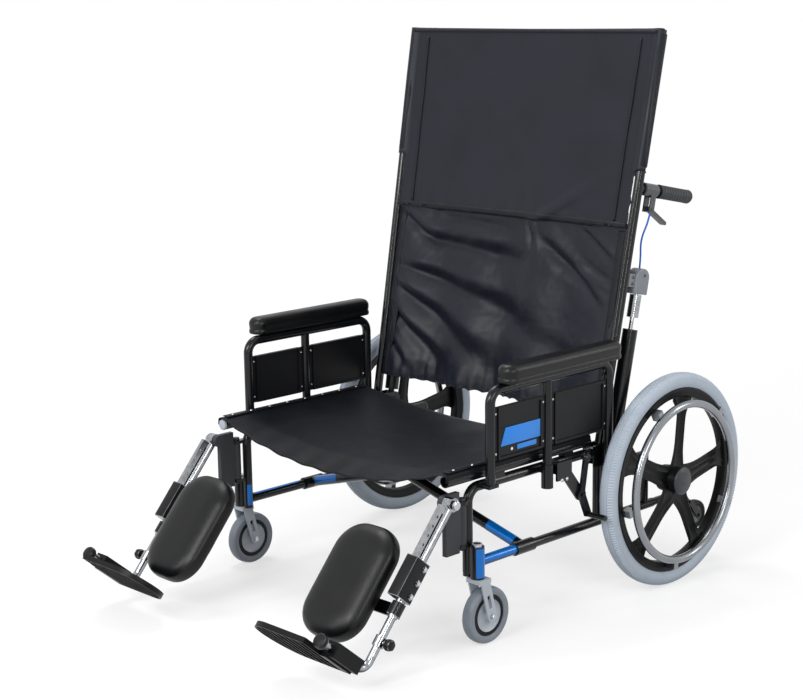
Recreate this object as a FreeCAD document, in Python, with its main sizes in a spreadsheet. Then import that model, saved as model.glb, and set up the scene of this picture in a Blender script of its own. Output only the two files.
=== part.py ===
# Reclining wheelchair: folding steel frame, leaning back canes and swing-away elevating legrests.
# The chair stands on Z = 0 and faces -Y, and its user's left is +X.  Lengths are in millimetres.
import FreeCAD, Part
import math
import os
import re

Vector = FreeCAD.Vector
Rotation = FreeCAD.Rotation

# Driving dimensions.  "ahead" is measured forward of the rear axle, "height" above the floor,
# "along" up a cane from its foot, "behind" square to the back of a cane,
# "down" along a leg from its pivot and "toe" from the leg towards the toes.
SIZES = {
    # side frame
    "frame_half_width": 370,
    "post_od": 22.2,
    "lower_rail_od": 22,
    "brace_od": 19,
    "tube_wall": 1.6,
    "front_post_ahead": 614,
    "front_post_foot": 152,
    "top_rail_height": 345,
    "top_bend_radius": 32,
    "top_rail_end_ahead": 206,
    "lower_rail_height": 174,
    "lower_rail_tail": 30,
    "rear_post_ahead": 177,
    "rear_post_gap": 20,
    "brace_drop": 45,
    "axle_boss_od": 32,
    "axle_boss_length": 40,
    "saddle_front_ahead": 520,
    "saddle_rear_ahead": 290,
    "saddle_length": 30,
    "saddle_width": 18,
    "saddle_rise": 5,
    "running_clearance": 0.06,
    "seating_gap": 0.3,
    "bore_overrun": 1,
    "web_thickness": 12,
    "web_margin": 6,
    "rear_web_drop": 4,
    "post_pad_margin": 4,
    "pin_overhang": 3,
    # recline bracket at the foot of a cane
    "cheek_gap": 26,
    "cheek_thickness": 4,
    "cheek_drop": 30,
    "cheek_ahead": 66,
    "cheek_end_radius": 17,
    "recline_pin_od": 10,
    "strut_pin_od": 8,
    "strut_pivot_back": 20,
    "strut_pivot_up": 3,
    # rear wheels
    "wheel_od": 508,
    "wheel_outset": 80,
    "tyre_section": 40,
    "tyre_height": 35,
    "rim_depth": 20,
    "rim_width": 30,
    "spoke_count": 5,
    "spoke_phase": 82,
    "spoke_root_width": 58,
    "spoke_tip_width": 36,
    "spoke_root_sink": 6,
    "spoke_tip_sink": 3,
    "spoke_tip_thickness": 10.7,
    "spoke_thickness": 16,
    "hub_radius": 32,
    "hub_length": 56,
    "hub_cap_radius": 29,
    "hub_cap_depth": 13,
    "hub_cap_wall": 4,
    "axle_od": 12,
    "axle_head_od": 22,
    "axle_head_length": 7,
    "axle_spacer_od": 20,
    "axle_nut_od": 18,
    "axle_nut_length": 5,
    "axle_tip": 6,
    "nut_clearance": 2,
    "handrim_inset": 24,
    "handrim_tube_od": 19,
    "handrim_outset": 39,
    "handrim_tab_width": 16,
    "handrim_tab_overlap": 10,
    # casters
    "caster_od": 127,
    "caster_width": 28,
    "caster_outset": 28,
    "caster_trail": 25,
    "caster_hub_width": 22,
    "caster_axle_od": 8,
    "housing_od": 31,
    "housing_height": 72,
    "stem_od": 12,
    "stem_cap_od": 21.6,
    "stem_cap_height": 6,
    "fork_gap": 34,
    "fork_plate": 4,
    "fork_leg_width": 26,
    "fork_shoulder_back": 4,
    "fork_slot_width": 8.7,
    "fork_slot_top": 50,
    "fork_slot_bottom": 20,
    "fork_slot_lean": 5,
    "crown_thickness": 10,
    "crown_tail": 8,
    "caster_bolt_end": 4,
    "small_hub_wall": 8.8,
    # armrests
    "armrest_outset": 31,
    "armrest_tube_od": 22,
    "mid_post_od": 21,
    "armrest_foot_gap": 4,
    "armrest_front_ahead": 575,
    "armrest_mid_ahead": 390,
    "armrest_rear_ahead": 178,
    "front_pad_rise": 7,
    "armrest_rise": 212,
    "armrest_bend_radius": 30,
    "socket_od": 27,
    "socket_drop": 39,
    "socket_rise": 15,
    "panel_rise": 57,
    "panel_drop": 39,
    "panel_thickness": 4,
    "panel_bead": 3,
    "panel_bead_margin": 10,
    "panel_bead_width": 6,
    "plate_length": 130,
    "plate_height": 40,
    "plate_lift": 28,
    "plate_thickness": 1.2,
    "pad_outset": 13,
    "pad_width": 50,
    "pad_front_ahead": 550,
    "pad_rear_ahead": 167,
    "pad_thickness": 42,
    "pad_corner": 22,
    "pad_crown": 9,
    # back canes
    "cane_od": 22,
    "cane_lean": 11.2,
    "cane_splay": 1.36,
    "cane_ahead": 174,
    "cane_foot_rise": 3,
    "cane_length": 964,
    "cane_plug": 30,
    "recline_pivot_behind": 30,
    "lug_eye_radius": 9,
    "lug_width": 22,
    "lug_web": 20,
    "handle_along": 604,
    "handle_od": 21,
    "handle_reach": 192,
    "grip_od": 33,
    "grip_length": 121,
    "grip_cap": 4,
    "clamp_od": 30,
    "clamp_start": 16,
    "clamp_length": 48,
    "ear_thickness": 3,
    "ear_depth": 18,
    "ear_end": 7,
    "ear_roof": 2,
    "lever_pivot_behind": 50,
    "lever_pivot_drop": 44,
    "lever_tip_behind": 113,
    "lever_tip_drop": 70,
    "lever_pin_od": 6,
    "lever_pin_end": 2,
    "lever_eye_radius": 6.3,
    "lever_width": 14,
    "lever_thickness": 9,
    # recline struts
    "strut_pivot_along": 375,
    "strut_pivot_behind": 52,
    "head_bottom": 364,
    "head_height": 59,
    "head_depth": 48,
    "head_width": 28,
    "head_arm_width": 18,
    "head_pin_od": 6,
    "rod_od": 10,
    "rod_length": 230,
    "rod_eye_radius": 8,
    "rod_eye_width": 14,
    "rod_eye_gap": 0.5,
    "rod_eye_room": 4,
    "sleeve_od": 28,
    "sleeve_top_drop": 13,
    "sleeve_length": 53,
    "strut_tube_od": 35,
    "strut_tube_bore": 31,
    "strut_tube_start": 22,
    "strut_tube_end": 274,
    "strut_tube_floor": 6,
    "strut_neck_od": 16,
    "strut_eye_radius": 9,
    "strut_eye_width": 20,
    "strut_bush_bore": 16,
    "strut_bush_length": 12,
    "cable_od": 4.5,
    # wheel locks
    "lock_outset": 45,
    "lock_plate": 5,
    "lock_plate_length": 50,
    "lock_plate_height": 42,
    "lock_plate_drop": 27,
    "lock_block_length": 30,
    "lock_arm_width": 28,
    "lock_arm_inset": 26,
    "lock_arm_drop": 6,
    "lock_front_gap": 118,
    "lock_pivot_gap": 38,
    "lock_pivot_drop": 73,
    "lock_pivot_od": 8,
    "lock_stud_end": 4,
    "lock_shoe_gap": 16,
    "lock_shoe_drop": 32,
    "lock_shoe_od": 13,
    "lock_handle_gap": 23,
    "lock_handle_rise": 11,
    "lock_lever_thickness": 6,
    "lock_lever_eye_radius": 12,
    "lock_shoe_arm_width": 20,
    "lock_handle_width": 16,
    "lock_knob_od": 22,
    # anti-tip tubes
    "tip_tube_back": 146,
    "tip_tube_insert": 10,
    "tip_crown_back": 171.2,
    "tip_crown_drop": 30.6,
    "tip_wheel_back": 202,
    "tip_wheel_drop": 68,
    "tip_wheel_od": 72,
    "tip_wheel_width": 22,
    "tip_axle_od": 8,
    "tip_plate": 4,
    "tip_plate_width": 16,
    "tip_eye_radius": 9,
    "tip_side_gap": 2,
    "tip_web_width": 16,
    # legrests
    "leg_outset": 27,
    "leg_pivot_ahead": 694,
    "leg_pivot_drop": 11,
    "leg_angle": 40.8,
    "leg_pivot_od": 10,
    "leg_bolt_end": 8,
    "leg_bolt_head_od": 18,
    "leg_bolt_head": 6,
    "leg_eye_radius": 15,
    "leg_tube_od": 22,
    "leg_tube_end": 268,
    "leg_tube_floor": 10,
    "leg_clamp_start": 136,
    "leg_clamp_length": 93,
    "leg_clamp_width": 30,
    "leg_clamp_wall": 2,
    "leg_bar_toe": 22,
    "leg_bar_depth": 14,
    "leg_bar_thickness": 9,
    "leg_bar_sink": 8,
    "leg_hole_count": 4,
    "leg_hole_start": 26,
    "leg_hole_pitch": 22,
    "leg_hole_od": 6,
    "hinge_ahead": 640,
    "hinge_outset": 8,
    "hinge_pin_od": 10,
    "hinge_pin_end": 6,
    "hinge_cap_od": 16,
    "hinge_lug_rise": 70,
    "hinge_lug_drop": 27,
    "hinge_lug_thickness": 8,
    "hinge_lug_width": 24,
    "hanger_thickness": 12,
    "hanger_lug_gap": 1,
    "knuckle_od": 20,
    "hanger_drop": 8,
    "foot_tube_od": 18,
    "foot_tube_insert": 80,
    "foot_down": 392,
    "foot_bend_radius": 25,
    "foot_toe_reach": 150,
    "foot_knob_od": 30,
    "foot_knob_length": 12,
    "foot_clamp_down": 323,
    "foot_collar_od": 26,
    "foot_collar_height": 22,
    "foot_clamp_stem": 12,
    "foot_clamp_stem_od": 10,
    "foot_clamp_knob_od": 22,
    "foot_clamp_knob_length": 14,
    "footplate_width": 206,
    "footplate_heel": 32,
    "footplate_hinge_gap": 18,
    "footplate_toe": 175,
    "footplate_drop": 8,
    "footplate_thickness": 12,
    "footplate_skin": 4,
    "footplate_rib": 4,
    "footplate_rib_count": 7,
    "footplate_block_height": 32,
    "footplate_barrel_toe": 117,
    "calf_pad_width": 165,
    "calf_pad_height": 258,
    "calf_pad_thickness": 46,
    "calf_pad_corner": 58,
    "calf_pad_crown": 16,
    "calf_pad_inset": 125,
    "calf_pad_down": 231,
    "calf_pad_toe": 7,
    "calf_collar_od": 30,
    "calf_collar_down": 234,
    "calf_collar_height": 28,
    "calf_arm_thickness": 6,
    # cross brace and slings
    "seat_rail_od": 25.4,
    "seat_rail_front_ahead": 684,
    "seat_rail_rear_ahead": 215,
    "cross_tube_od": 25,
    "cross_ahead": 420,
    "cross_spacing": 32,
    "cross_sleeve_od": 30,
    "cross_sleeve_length": 60,
    "cross_bolt_od": 10,
    "cross_bolt_head_od": 18,
    "cross_bolt_head": 7,
    "seat_cloth": 4,
    "seat_front_ahead": 690,
    "seat_front_sag": 62,
    "seat_front_dip": 70,
    "seat_mid_sag": 40,
    "seat_rear_sag": 30,
    "seat_flap": 11,
    "seat_bend_inset": 5,
    "back_cloth": 4,
    "back_hem_along": 70,
    "back_lower_top": 520,
    "back_upper_hem": 508,
    "back_sleeve_along": 640,
    "back_sleeve_thickness": 2.5,
    "back_sag": 26,
    "back_seam_sag": 18.2,
    "back_top_sag": 11.7,
    "back_top_rise": 2,
    "back_upper_swell": 1,
    "back_fold_depth": 13,
    "back_seam_fold": 2,
    "back_fold_count": 7,
    "back_overlap_gap": 1,
}

# Places that follow from the driving dimensions, written as sheet formulas.
PLACES = {
    "wheel_radius": "wheel_od / 2",
    "rear_post_top": "top_rail_height - rear_post_gap",
    "brace_height": "top_rail_height - brace_drop",
    "rim_outer_radius": "wheel_radius - tyre_height",
    "rim_inner_radius": "rim_outer_radius - rim_depth",
    "handrim_od": "2 * (rim_outer_radius - handrim_inset)",
    "armrest_front_foot": "top_rail_height + front_pad_rise",
    "armrest_bar_height": "top_rail_height + armrest_rise",
    "socket_bottom": "top_rail_height - socket_drop",
    "socket_top": "top_rail_height + socket_rise",
    "panel_bottom": "top_rail_height + panel_rise",
    "panel_top": "armrest_bar_height - panel_drop",
    "cane_foot_height": "top_rail_height + cane_foot_rise",
    "lock_front_ahead": "wheel_radius + lock_front_gap",
    "lock_pivot_ahead": "wheel_radius + lock_pivot_gap",
    "lock_pivot_height": "top_rail_height - lock_pivot_drop",
    "lock_shoe_ahead": "wheel_radius + lock_shoe_gap",
    "lock_shoe_height": "wheel_radius - lock_shoe_drop",
    "lock_handle_ahead": "wheel_radius + lock_handle_gap",
    "lock_handle_height": "top_rail_height + lock_handle_rise",
    "tip_wheel_height": "lower_rail_height - tip_wheel_drop",
    "tip_crown_height": "lower_rail_height - tip_crown_drop",
    "leg_pivot_height": "top_rail_height - leg_pivot_drop",
    "hinge_lug_low": "front_post_foot + hinge_lug_rise",
    "hinge_lug_high": "top_rail_height - hinge_lug_drop",
    "hanger_bottom": "hinge_lug_low - hanger_drop",
    "leg_front_reach": "leg_pivot_ahead + (foot_down + footplate_drop + footplate_thickness) * sin(leg_angle)"
                       " + footplate_toe * cos(leg_angle)",
    "axle_place": "(leg_front_reach - wheel_radius) / 2",
    "front_post_place": "axle_place - front_post_ahead",
    "rear_post_place": "axle_place - rear_post_ahead",
    "wheel_side": "frame_half_width + wheel_outset",
    "caster_side": "frame_half_width + caster_outset",
    "armrest_side": "frame_half_width + armrest_outset",
    "leg_side": "frame_half_width + leg_outset",
    "hinge_side": "frame_half_width + hinge_outset",
    "lock_side": "frame_half_width + lock_outset",
    "seat_rail_height": "top_rail_height + post_od / 2 + saddle_rise + seat_rail_od / 2",
    "cane_place": "axle_place - cane_ahead",
    "recline_place": "cane_place + recline_pivot_behind * cos(cane_lean)",
    "recline_height": "cane_foot_height - recline_pivot_behind * sin(cane_lean)",
    "strut_place": "recline_place + strut_pivot_back",
    "strut_height": "recline_height + strut_pivot_up",
    "strut_foot_behind": "recline_pivot_behind + strut_pivot_back * cos(cane_lean)"
                         " - strut_pivot_up * sin(cane_lean)",
    "strut_foot_along": "strut_pivot_back * sin(cane_lean) + strut_pivot_up * cos(cane_lean)",
    "strut_lean": "cane_lean + atan2(strut_pivot_behind - strut_foot_behind;"
                  " strut_pivot_along - strut_foot_along) / 1 deg",
    "strut_top_rise": "strut_pivot_along * cos(cane_lean) - strut_pivot_behind * sin(cane_lean)",
    "strut_top_side": "frame_half_width + strut_top_rise * sin(cane_splay)",
    "strut_top_place": "cane_place + strut_pivot_behind * cos(cane_lean)"
                       " + strut_pivot_along * sin(cane_lean)",
    "strut_top_height": "cane_foot_height + strut_top_rise * cos(cane_splay)",
    "leg_place": "axle_place - leg_pivot_ahead",
    "hinge_place": "axle_place - hinge_ahead",
    "cross_rise": "seat_rail_height - lower_rail_height",
    "cross_angle": "atan2(cross_rise; 2 * frame_half_width) / 1 deg",
    "cross_length": "sqrt(cross_rise ^ 2 + 4 * frame_half_width ^ 2)",
    "cross_mid_height": "(seat_rail_height + lower_rail_height) / 2",
    "pad_height": "armrest_bar_height + armrest_tube_od / 2 + seating_gap",
    "armrest_foot": "socket_bottom + armrest_foot_gap",
}

doc = FreeCAD.newDocument("reclining_wheelchair")
sheet = doc.addObject("Spreadsheet::Sheet", "Sheet")
for row, (name, value) in enumerate(SIZES.items(), start=1):
    sheet.set(f"A{row}", name)
    sheet.set(f"B{row}", str(value))
    sheet.setAlias(f"B{row}", name)
for row, (name, formula) in enumerate(PLACES.items(), start=1):
    sheet.set(f"D{row}", name)
    sheet.set(f"E{row}", "=" + formula)
    sheet.setAlias(f"E{row}", name)
doc.recompute()

NODES = []
KNOWN = set(SIZES) | set(PLACES)
X_AXIS = Vector(1, 0, 0)
Y_AXIS = Vector(0, 1, 0)
Z_AXIS = Vector(0, 0, 1)
ALONG = {
    "x": Rotation(Z_AXIS, X_AXIS),
    "y": Rotation(Z_AXIS, Y_AXIS),
    "z": Rotation(),
}


def size(name):
    """A sheet value as a plain number, for the shapes drawn in code."""
    return float(sheet.get(name))


def formula(text):
    """Name the sheet in front of every sheet value of an expression."""
    def with_sheet(match):
        word = match.group()
        return "Sheet." + word if word in KNOWN else word
    return re.sub(r"[a-z][a-z_]*", with_sheet, str(text))


def bind(thing, **sizes):
    for prop, text in sizes.items():
        thing.setExpression(prop, formula(text))


def put(thing, at, turn=None):
    """Place an object by expressions: a point, and yaw, pitch and roll or a fixed rotation."""
    if isinstance(turn, Rotation):
        thing.Placement.Rotation = turn
    if turn is None or isinstance(turn, Rotation):
        for axis, text in zip("xyz", at):
            thing.setExpression(f"Placement.Base.{axis}", formula(text))
        return thing
    point = "; ".join(formula(text) for text in at)
    angles = "; ".join(formula(text) for text in turn)
    thing.setExpression("Placement", f"placement(vector({point}); rotation({angles}))")
    return thing


def rod(radius, length, at, along="z"):
    thing = doc.addObject("Part::Cylinder", "rod")
    bind(thing, Radius=radius, Height=length)
    turn = ALONG[along] if along in ALONG else along
    return put(thing, at, turn)


def bore(radius, length, at, along):
    """A hole cutter that overruns both ends of its hole."""
    start = list(at)
    axis = "xyz".index(along)
    start[axis] = f"{start[axis]} - bore_overrun"
    return rod(radius, f"{length} + 2 * bore_overrun", start, along)


def slanted(radius, side, start, end):
    """A round bar in a plane of constant X, from one (Y, Z) point to another."""
    run = f"(({end[0]}) - ({start[0]}))"
    rise = f"(({end[1]}) - ({start[1]}))"
    length = f"sqrt({run} ^ 2 + {rise} ^ 2)"
    return rod(radius, length, (side, *start), ("0", "0", f"-atan2({run}; {rise})"))


def block(size_x, size_y, size_z, at, turn=None):
    thing = doc.addObject("Part::Box", "block")
    bind(thing, Length=size_x, Width=size_y, Height=size_z)
    return put(thing, at, turn)


def slab(side, thickness, width, start, end):
    """A flat bar in a plane of constant X, centred on the line between two (Y, Z) points."""
    run = f"(({end[0]}) - ({start[0]}))"
    rise = f"(({end[1]}) - ({start[1]}))"
    length = f"sqrt({run} ^ 2 + {rise} ^ 2)"
    bar = block(thickness, width, length, (f"-({thickness}) / 2", f"-({width}) / 2", "0"))
    return group([bar], (side, *start), ("0", "0", f"-atan2({run}; {rise})"))


def ball(radius, at):
    thing = doc.addObject("Part::Sphere", "ball")
    bind(thing, Radius=radius)
    return put(thing, at)


def bend(radius, tube_radius, at, rotation):
    """A quarter of a bent tube, turning from the rotation's X towards its Y."""
    thing = doc.addObject("Part::Torus", "bend")
    bind(thing, Radius1=radius, Radius2=tube_radius, Angle3="90")
    return put(thing, at, rotation)


def hoop(radius, tube_radius, at):
    """A whole ring around the X direction."""
    thing = doc.addObject("Part::Torus", "hoop")
    bind(thing, Radius1=radius, Radius2=tube_radius)
    return put(thing, at, ALONG["x"])


def fuse(things):
    if len(things) == 1:
        return things[0]
    thing = doc.addObject("Part::MultiFuse", "fuse")
    thing.Shapes = things
    return thing


def group(things, at, turn):
    """Pieces drawn in a local frame and placed together."""
    thing = doc.addObject("Part::Compound", "group")
    thing.Links = things
    return put(thing, at, turn)


def cut(base, tools):
    thing = doc.addObject("Part::Cut", "cut")
    thing.Base = base
    thing.Tool = fuse(tools)
    return thing


def node(label, thing):
    thing.Label = label
    NODES.append(thing)
    return thing


def mirrored(label, source):
    """The same piece on the other side of the chair."""
    thing = doc.addObject("Part::Mirroring", "mirrored")
    thing.Source = source
    thing.Base = Vector(0, 0, 0)
    thing.Normal = X_AXIS
    return node(label, thing)


def pair(name, thing):
    """A left piece and its right twin."""
    node("left_" + name, thing)
    mirrored("right_" + name, thing)


# Rotations of a bent tube's quarter turn, seen from the side.
POST_TO_RAIL = Rotation(Vector(0, -1, 0), Vector(0, 0, 1), Vector(-1, 0, 0), "XYZ")
RAIL_TO_POST = Rotation(Vector(0, 0, 1), Vector(0, 1, 0), Vector(-1, 0, 0), "XYZ")
LEG_TO_TOE = Rotation(Vector(0, 1, 0), Vector(0, 0, -1), Vector(-1, 0, 0), "XYZ")


def frame_tubes(thinner):
    """The welded tubes of one side frame, each radius less by the given wall."""
    side = "frame_half_width"
    post = f"post_od / 2 - {thinner}"
    rail = f"lower_rail_od / 2 - {thinner}"
    brace = f"brace_od / 2 - {thinner}"
    bend_place = "front_post_place + top_bend_radius"
    bend_height = "top_rail_height - top_bend_radius"
    return [
        rod(post, f"{bend_height} - front_post_foot", (side, "front_post_place", "front_post_foot")),
        bend("top_bend_radius", post, (side, bend_place, bend_height), POST_TO_RAIL),
        rod(post, "front_post_ahead - top_bend_radius - top_rail_end_ahead",
            (side, bend_place, "top_rail_height"), "y"),
        rod(rail, "front_post_ahead + lower_rail_tail",
            (side, "front_post_place", "lower_rail_height"), "y"),
        rod(post, "rear_post_top - lower_rail_height", (side, "rear_post_place", "lower_rail_height")),
        rod(brace, "rear_post_ahead", (side, "rear_post_place", "brace_height"), "y"),
        rod(brace, "brace_height - lower_rail_height", (side, "axle_place", "lower_rail_height")),
    ]


def caster_and_armrest_seats():
    """Caster housing, axle boss, armrest sockets and the pad that the front armrest post stands on."""
    side = "frame_half_width"
    mid = "axle_place - armrest_mid_ahead"
    rear = "axle_place - armrest_rear_ahead"
    front = "axle_place - armrest_front_ahead"
    half_web = "web_thickness / 2"
    socket_height = "socket_top - socket_bottom"
    return [
        rod("housing_od / 2", "housing_height", ("caster_side", "front_post_place", "front_post_foot")),
        block("caster_outset", "web_thickness", "housing_height - 2 * web_margin",
              (side, f"front_post_place - {half_web}", "front_post_foot + web_margin")),
        rod("axle_boss_od / 2", "axle_boss_length",
            (f"{side} - axle_boss_length / 2", "axle_place", "wheel_radius"), "x"),
        ball("brace_od / 2", (side, "axle_place", "brace_height")),
        rod("socket_od / 2", socket_height, ("armrest_side", mid, "socket_bottom")),
        block("armrest_outset", "web_thickness", "web_thickness",
              (side, f"{mid} - {half_web}", f"top_rail_height - {half_web}")),
        rod("socket_od / 2", socket_height, ("armrest_side", rear, "socket_bottom")),
        block("armrest_outset", "web_thickness", "web_thickness",
              (side, f"{rear} - {half_web}", "rear_post_top - web_thickness - rear_web_drop")),
        block("armrest_outset + armrest_tube_od / 2", "armrest_tube_od + 2 * post_pad_margin",
              "armrest_front_foot - seating_gap - top_rail_height",
              (side, f"{front} - armrest_tube_od / 2 - post_pad_margin", "top_rail_height")),
    ]


def seat_saddles():
    """Cradles on the top rail that the seat rail drops into."""
    side = "frame_half_width - saddle_width / 2"
    height = "seat_rail_height - seat_rail_od / 4 - top_rail_height"
    return [
        block("saddle_width", "saddle_length", height,
              (side, f"axle_place - {ahead} - saddle_length / 2", "top_rail_height"))
        for ahead in ("saddle_front_ahead", "saddle_rear_ahead")
    ]


def recline_bracket():
    """Two cheeks around the foot of a cane, their spacers, and the pins of the cane and the strut."""
    side = "frame_half_width"
    height = "strut_height + cheek_end_radius - recline_height + cheek_drop"
    start = "recline_place - cheek_ahead"
    outside = "cheek_gap / 2 + cheek_thickness"
    pin_start = f"{side} - ({outside}) - pin_overhang"
    pin_length = f"2 * ({outside} + pin_overhang)"
    pieces = []
    for inner in (f"{side} + cheek_gap / 2", f"{side} - ({outside})"):
        pieces.append(block("cheek_thickness", f"strut_place - ({start})", height,
                            (inner, start, "recline_height - cheek_drop")))
        pieces.append(rod("cheek_end_radius", "cheek_thickness",
                          (inner, "strut_place", "strut_height"), "x"))
    pieces += [
        block("cheek_gap", "cheek_ahead - recline_pivot_behind - cane_od", "post_od",
              (f"{side} - cheek_gap / 2", start, "top_rail_height - post_od / 2")),
        block("cheek_gap", "post_od", "rear_post_top - recline_height + cheek_drop",
              (f"{side} - cheek_gap / 2", "rear_post_place - post_od / 2", "recline_height - cheek_drop")),
        rod("recline_pin_od / 2", pin_length, (pin_start, "recline_place", "recline_height"), "x"),
        rod("strut_pin_od / 2", pin_length, (pin_start, "strut_place", "strut_height"), "x"),
    ]
    return pieces


def hinge_lugs():
    """The two lugs on the front post that carry the legrest's hinge pin."""
    lug_width = "frame_half_width + post_od / 2 - hinge_side + hinge_lug_width / 2"
    pieces = []
    for low in ("hinge_lug_low", "hinge_lug_high"):
        pieces.append(rod("hinge_lug_width / 2", "hinge_lug_thickness", ("hinge_side", "hinge_place", low)))
        pieces.append(block(lug_width, "hinge_ahead - front_post_ahead", "hinge_lug_thickness",
                            ("hinge_side - hinge_lug_width / 2", "hinge_place", low)))
    return pieces


def wheel_lock_bracket():
    """The plate that carries the wheel-lock lever, and its pivot stud."""
    front = "axle_place - lock_front_ahead"
    pivot = ("axle_place - lock_pivot_ahead", "lock_pivot_height")
    corner = (f"{front} + lock_arm_inset", "top_rail_height - lock_arm_drop")
    inner = "lock_side - lock_plate"
    return [
        block("lock_outset", "lock_block_length", "post_od",
              ("frame_half_width", front, "top_rail_height - post_od / 2")),
        block("lock_plate", "lock_plate_length", "lock_plate_height",
              (inner, front, "top_rail_height - lock_plate_drop")),
        slab("lock_side - lock_plate / 2", "lock_plate", "lock_arm_width", corner, pivot),
        rod("lock_arm_width / 2", "lock_plate", (inner, *pivot), "x"),
        rod("lock_pivot_od / 2", "lock_plate + lock_lever_thickness + lock_stud_end", (inner, *pivot), "x"),
    ]


def side_frame():
    tubes = cut(fuse(frame_tubes("0")), frame_tubes("tube_wall"))
    fittings = caster_and_armrest_seats() + seat_saddles() + recline_bracket()
    fittings += hinge_lugs() + wheel_lock_bracket()
    socket_height = "socket_top - socket_bottom"
    bores = [
        bore("axle_od / 2 + running_clearance", "axle_boss_length",
             ("frame_half_width - axle_boss_length / 2", "axle_place", "wheel_radius"), "x"),
        bore("mid_post_od / 2 + running_clearance", socket_height,
             ("armrest_side", "axle_place - armrest_mid_ahead", "socket_bottom"), "z"),
        bore("armrest_tube_od / 2 + running_clearance", socket_height,
             ("armrest_side", "axle_place - armrest_rear_ahead", "socket_bottom"), "z"),
        bore("stem_od / 2 + running_clearance", "housing_height",
             ("caster_side", "front_post_place", "front_post_foot"), "z"),
        bore("hinge_pin_od / 2 + running_clearance", "hinge_lug_high - hinge_lug_low + hinge_lug_thickness",
             ("hinge_side", "hinge_place", "hinge_lug_low"), "z"),
        rod("seat_rail_od / 2 + seating_gap", "seat_rail_front_ahead - seat_rail_rear_ahead",
            ("frame_half_width", "axle_place - seat_rail_front_ahead", "seat_rail_height"), "y"),
    ]
    return cut(fuse([tubes] + fittings), bores)


pair("side_frame", side_frame())


# Rear wheels
WHEEL_CENTRE = ("wheel_side", "axle_place", "wheel_radius")


def spun(things, step):
    """Pieces drawn upright on the wheel's +Y radius, turned about the wheel's axle."""
    angle = f"spoke_phase + {step} * 360 / spoke_count"
    return group(things, WHEEL_CENTRE, ("0", "0", angle))


def rear_axle():
    head = "frame_half_width - axle_boss_length / 2 - axle_head_length"
    boss_face = "frame_half_width + axle_boss_length / 2"
    hub_start = "wheel_side - hub_length / 2"
    hub_end = "wheel_side + hub_length / 2"
    place = ("axle_place", "wheel_radius")
    return fuse([
        rod("axle_od / 2", f"{hub_end} + axle_tip - ({head})", (head, *place), "x"),
        rod("axle_head_od / 2", "axle_head_length", (head, *place), "x"),
        rod("axle_spacer_od / 2", f"{hub_start} - seating_gap - ({boss_face})", (boss_face, *place), "x"),
        rod("axle_nut_od / 2", "axle_nut_length", (f"{hub_end} + seating_gap", *place), "x"),
    ])


def wheel_spoke(step):
    spoke = doc.addObject("Part::Wedge", "spoke")
    bind(spoke, Ymin="hub_radius - spoke_root_sink", Ymax="rim_inner_radius + spoke_tip_sink",
         Xmin="-spoke_thickness / 2", Xmax="spoke_thickness / 2",
         X2min="-spoke_tip_thickness / 2", X2max="spoke_tip_thickness / 2",
         Zmin="-spoke_root_width / 2", Zmax="spoke_root_width / 2",
         Z2min="-spoke_tip_width / 2", Z2max="spoke_tip_width / 2")
    return spun([spoke], step)


def rear_wheel():
    rim_start = "wheel_side - rim_width / 2"
    hub_start = "wheel_side - hub_length / 2"
    hub_end = "wheel_side + hub_length / 2"
    place = ("axle_place", "wheel_radius")
    rim = cut(rod("rim_outer_radius", "rim_width", (rim_start, *place), "x"),
              [rod("rim_inner_radius", "rim_width", (rim_start, *place), "x")])
    hub = rod("hub_radius", "hub_length", (hub_start, *place), "x")
    cap = rod("hub_cap_radius", "hub_cap_depth", (hub_end, *place), "x")
    spokes = [wheel_spoke(step) for step in range(SIZES["spoke_count"])]
    axle_bore = bore("axle_od / 2 + running_clearance", "hub_length", (hub_start, *place), "x")
    nut_room = rod("axle_nut_od / 2 + nut_clearance", "hub_cap_depth - hub_cap_wall",
                   (hub_end, *place), "x")
    return cut(fuse([rim, hub, cap] + spokes), [axle_bore, nut_room])


def rear_tyre():
    ring = hoop("wheel_radius - tyre_section / 2", "tyre_section / 2", WHEEL_CENTRE)
    seat = rod("rim_outer_radius", "tyre_section",
               ("wheel_side - tyre_section / 2", *WHEEL_CENTRE[1:]), "x")
    return cut(ring, [seat])


def handrim():
    radius = "handrim_od / 2 - handrim_tube_od / 2"
    ring = hoop(radius, "handrim_tube_od / 2", ("wheel_side + handrim_outset", *WHEEL_CENTRE[1:]))
    tab_length = f"rim_inner_radius + handrim_tab_overlap - ({radius})"
    tabs = [
        spun([block("handrim_outset - rim_width / 2", tab_length, "handrim_tab_width",
                    ("rim_width / 2", radius, "-handrim_tab_width / 2"))], step + 0.5)
        for step in range(SIZES["spoke_count"])
    ]
    return fuse([ring] + tabs)


pair("rear_axle", rear_axle())
pair("rear_wheel", rear_wheel())
pair("rear_tyre", rear_tyre())
pair("handrim", handrim())


# Casters, trailing behind their stems
CASTER_AXLE = ("front_post_place + caster_trail", "caster_od / 2")


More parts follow.
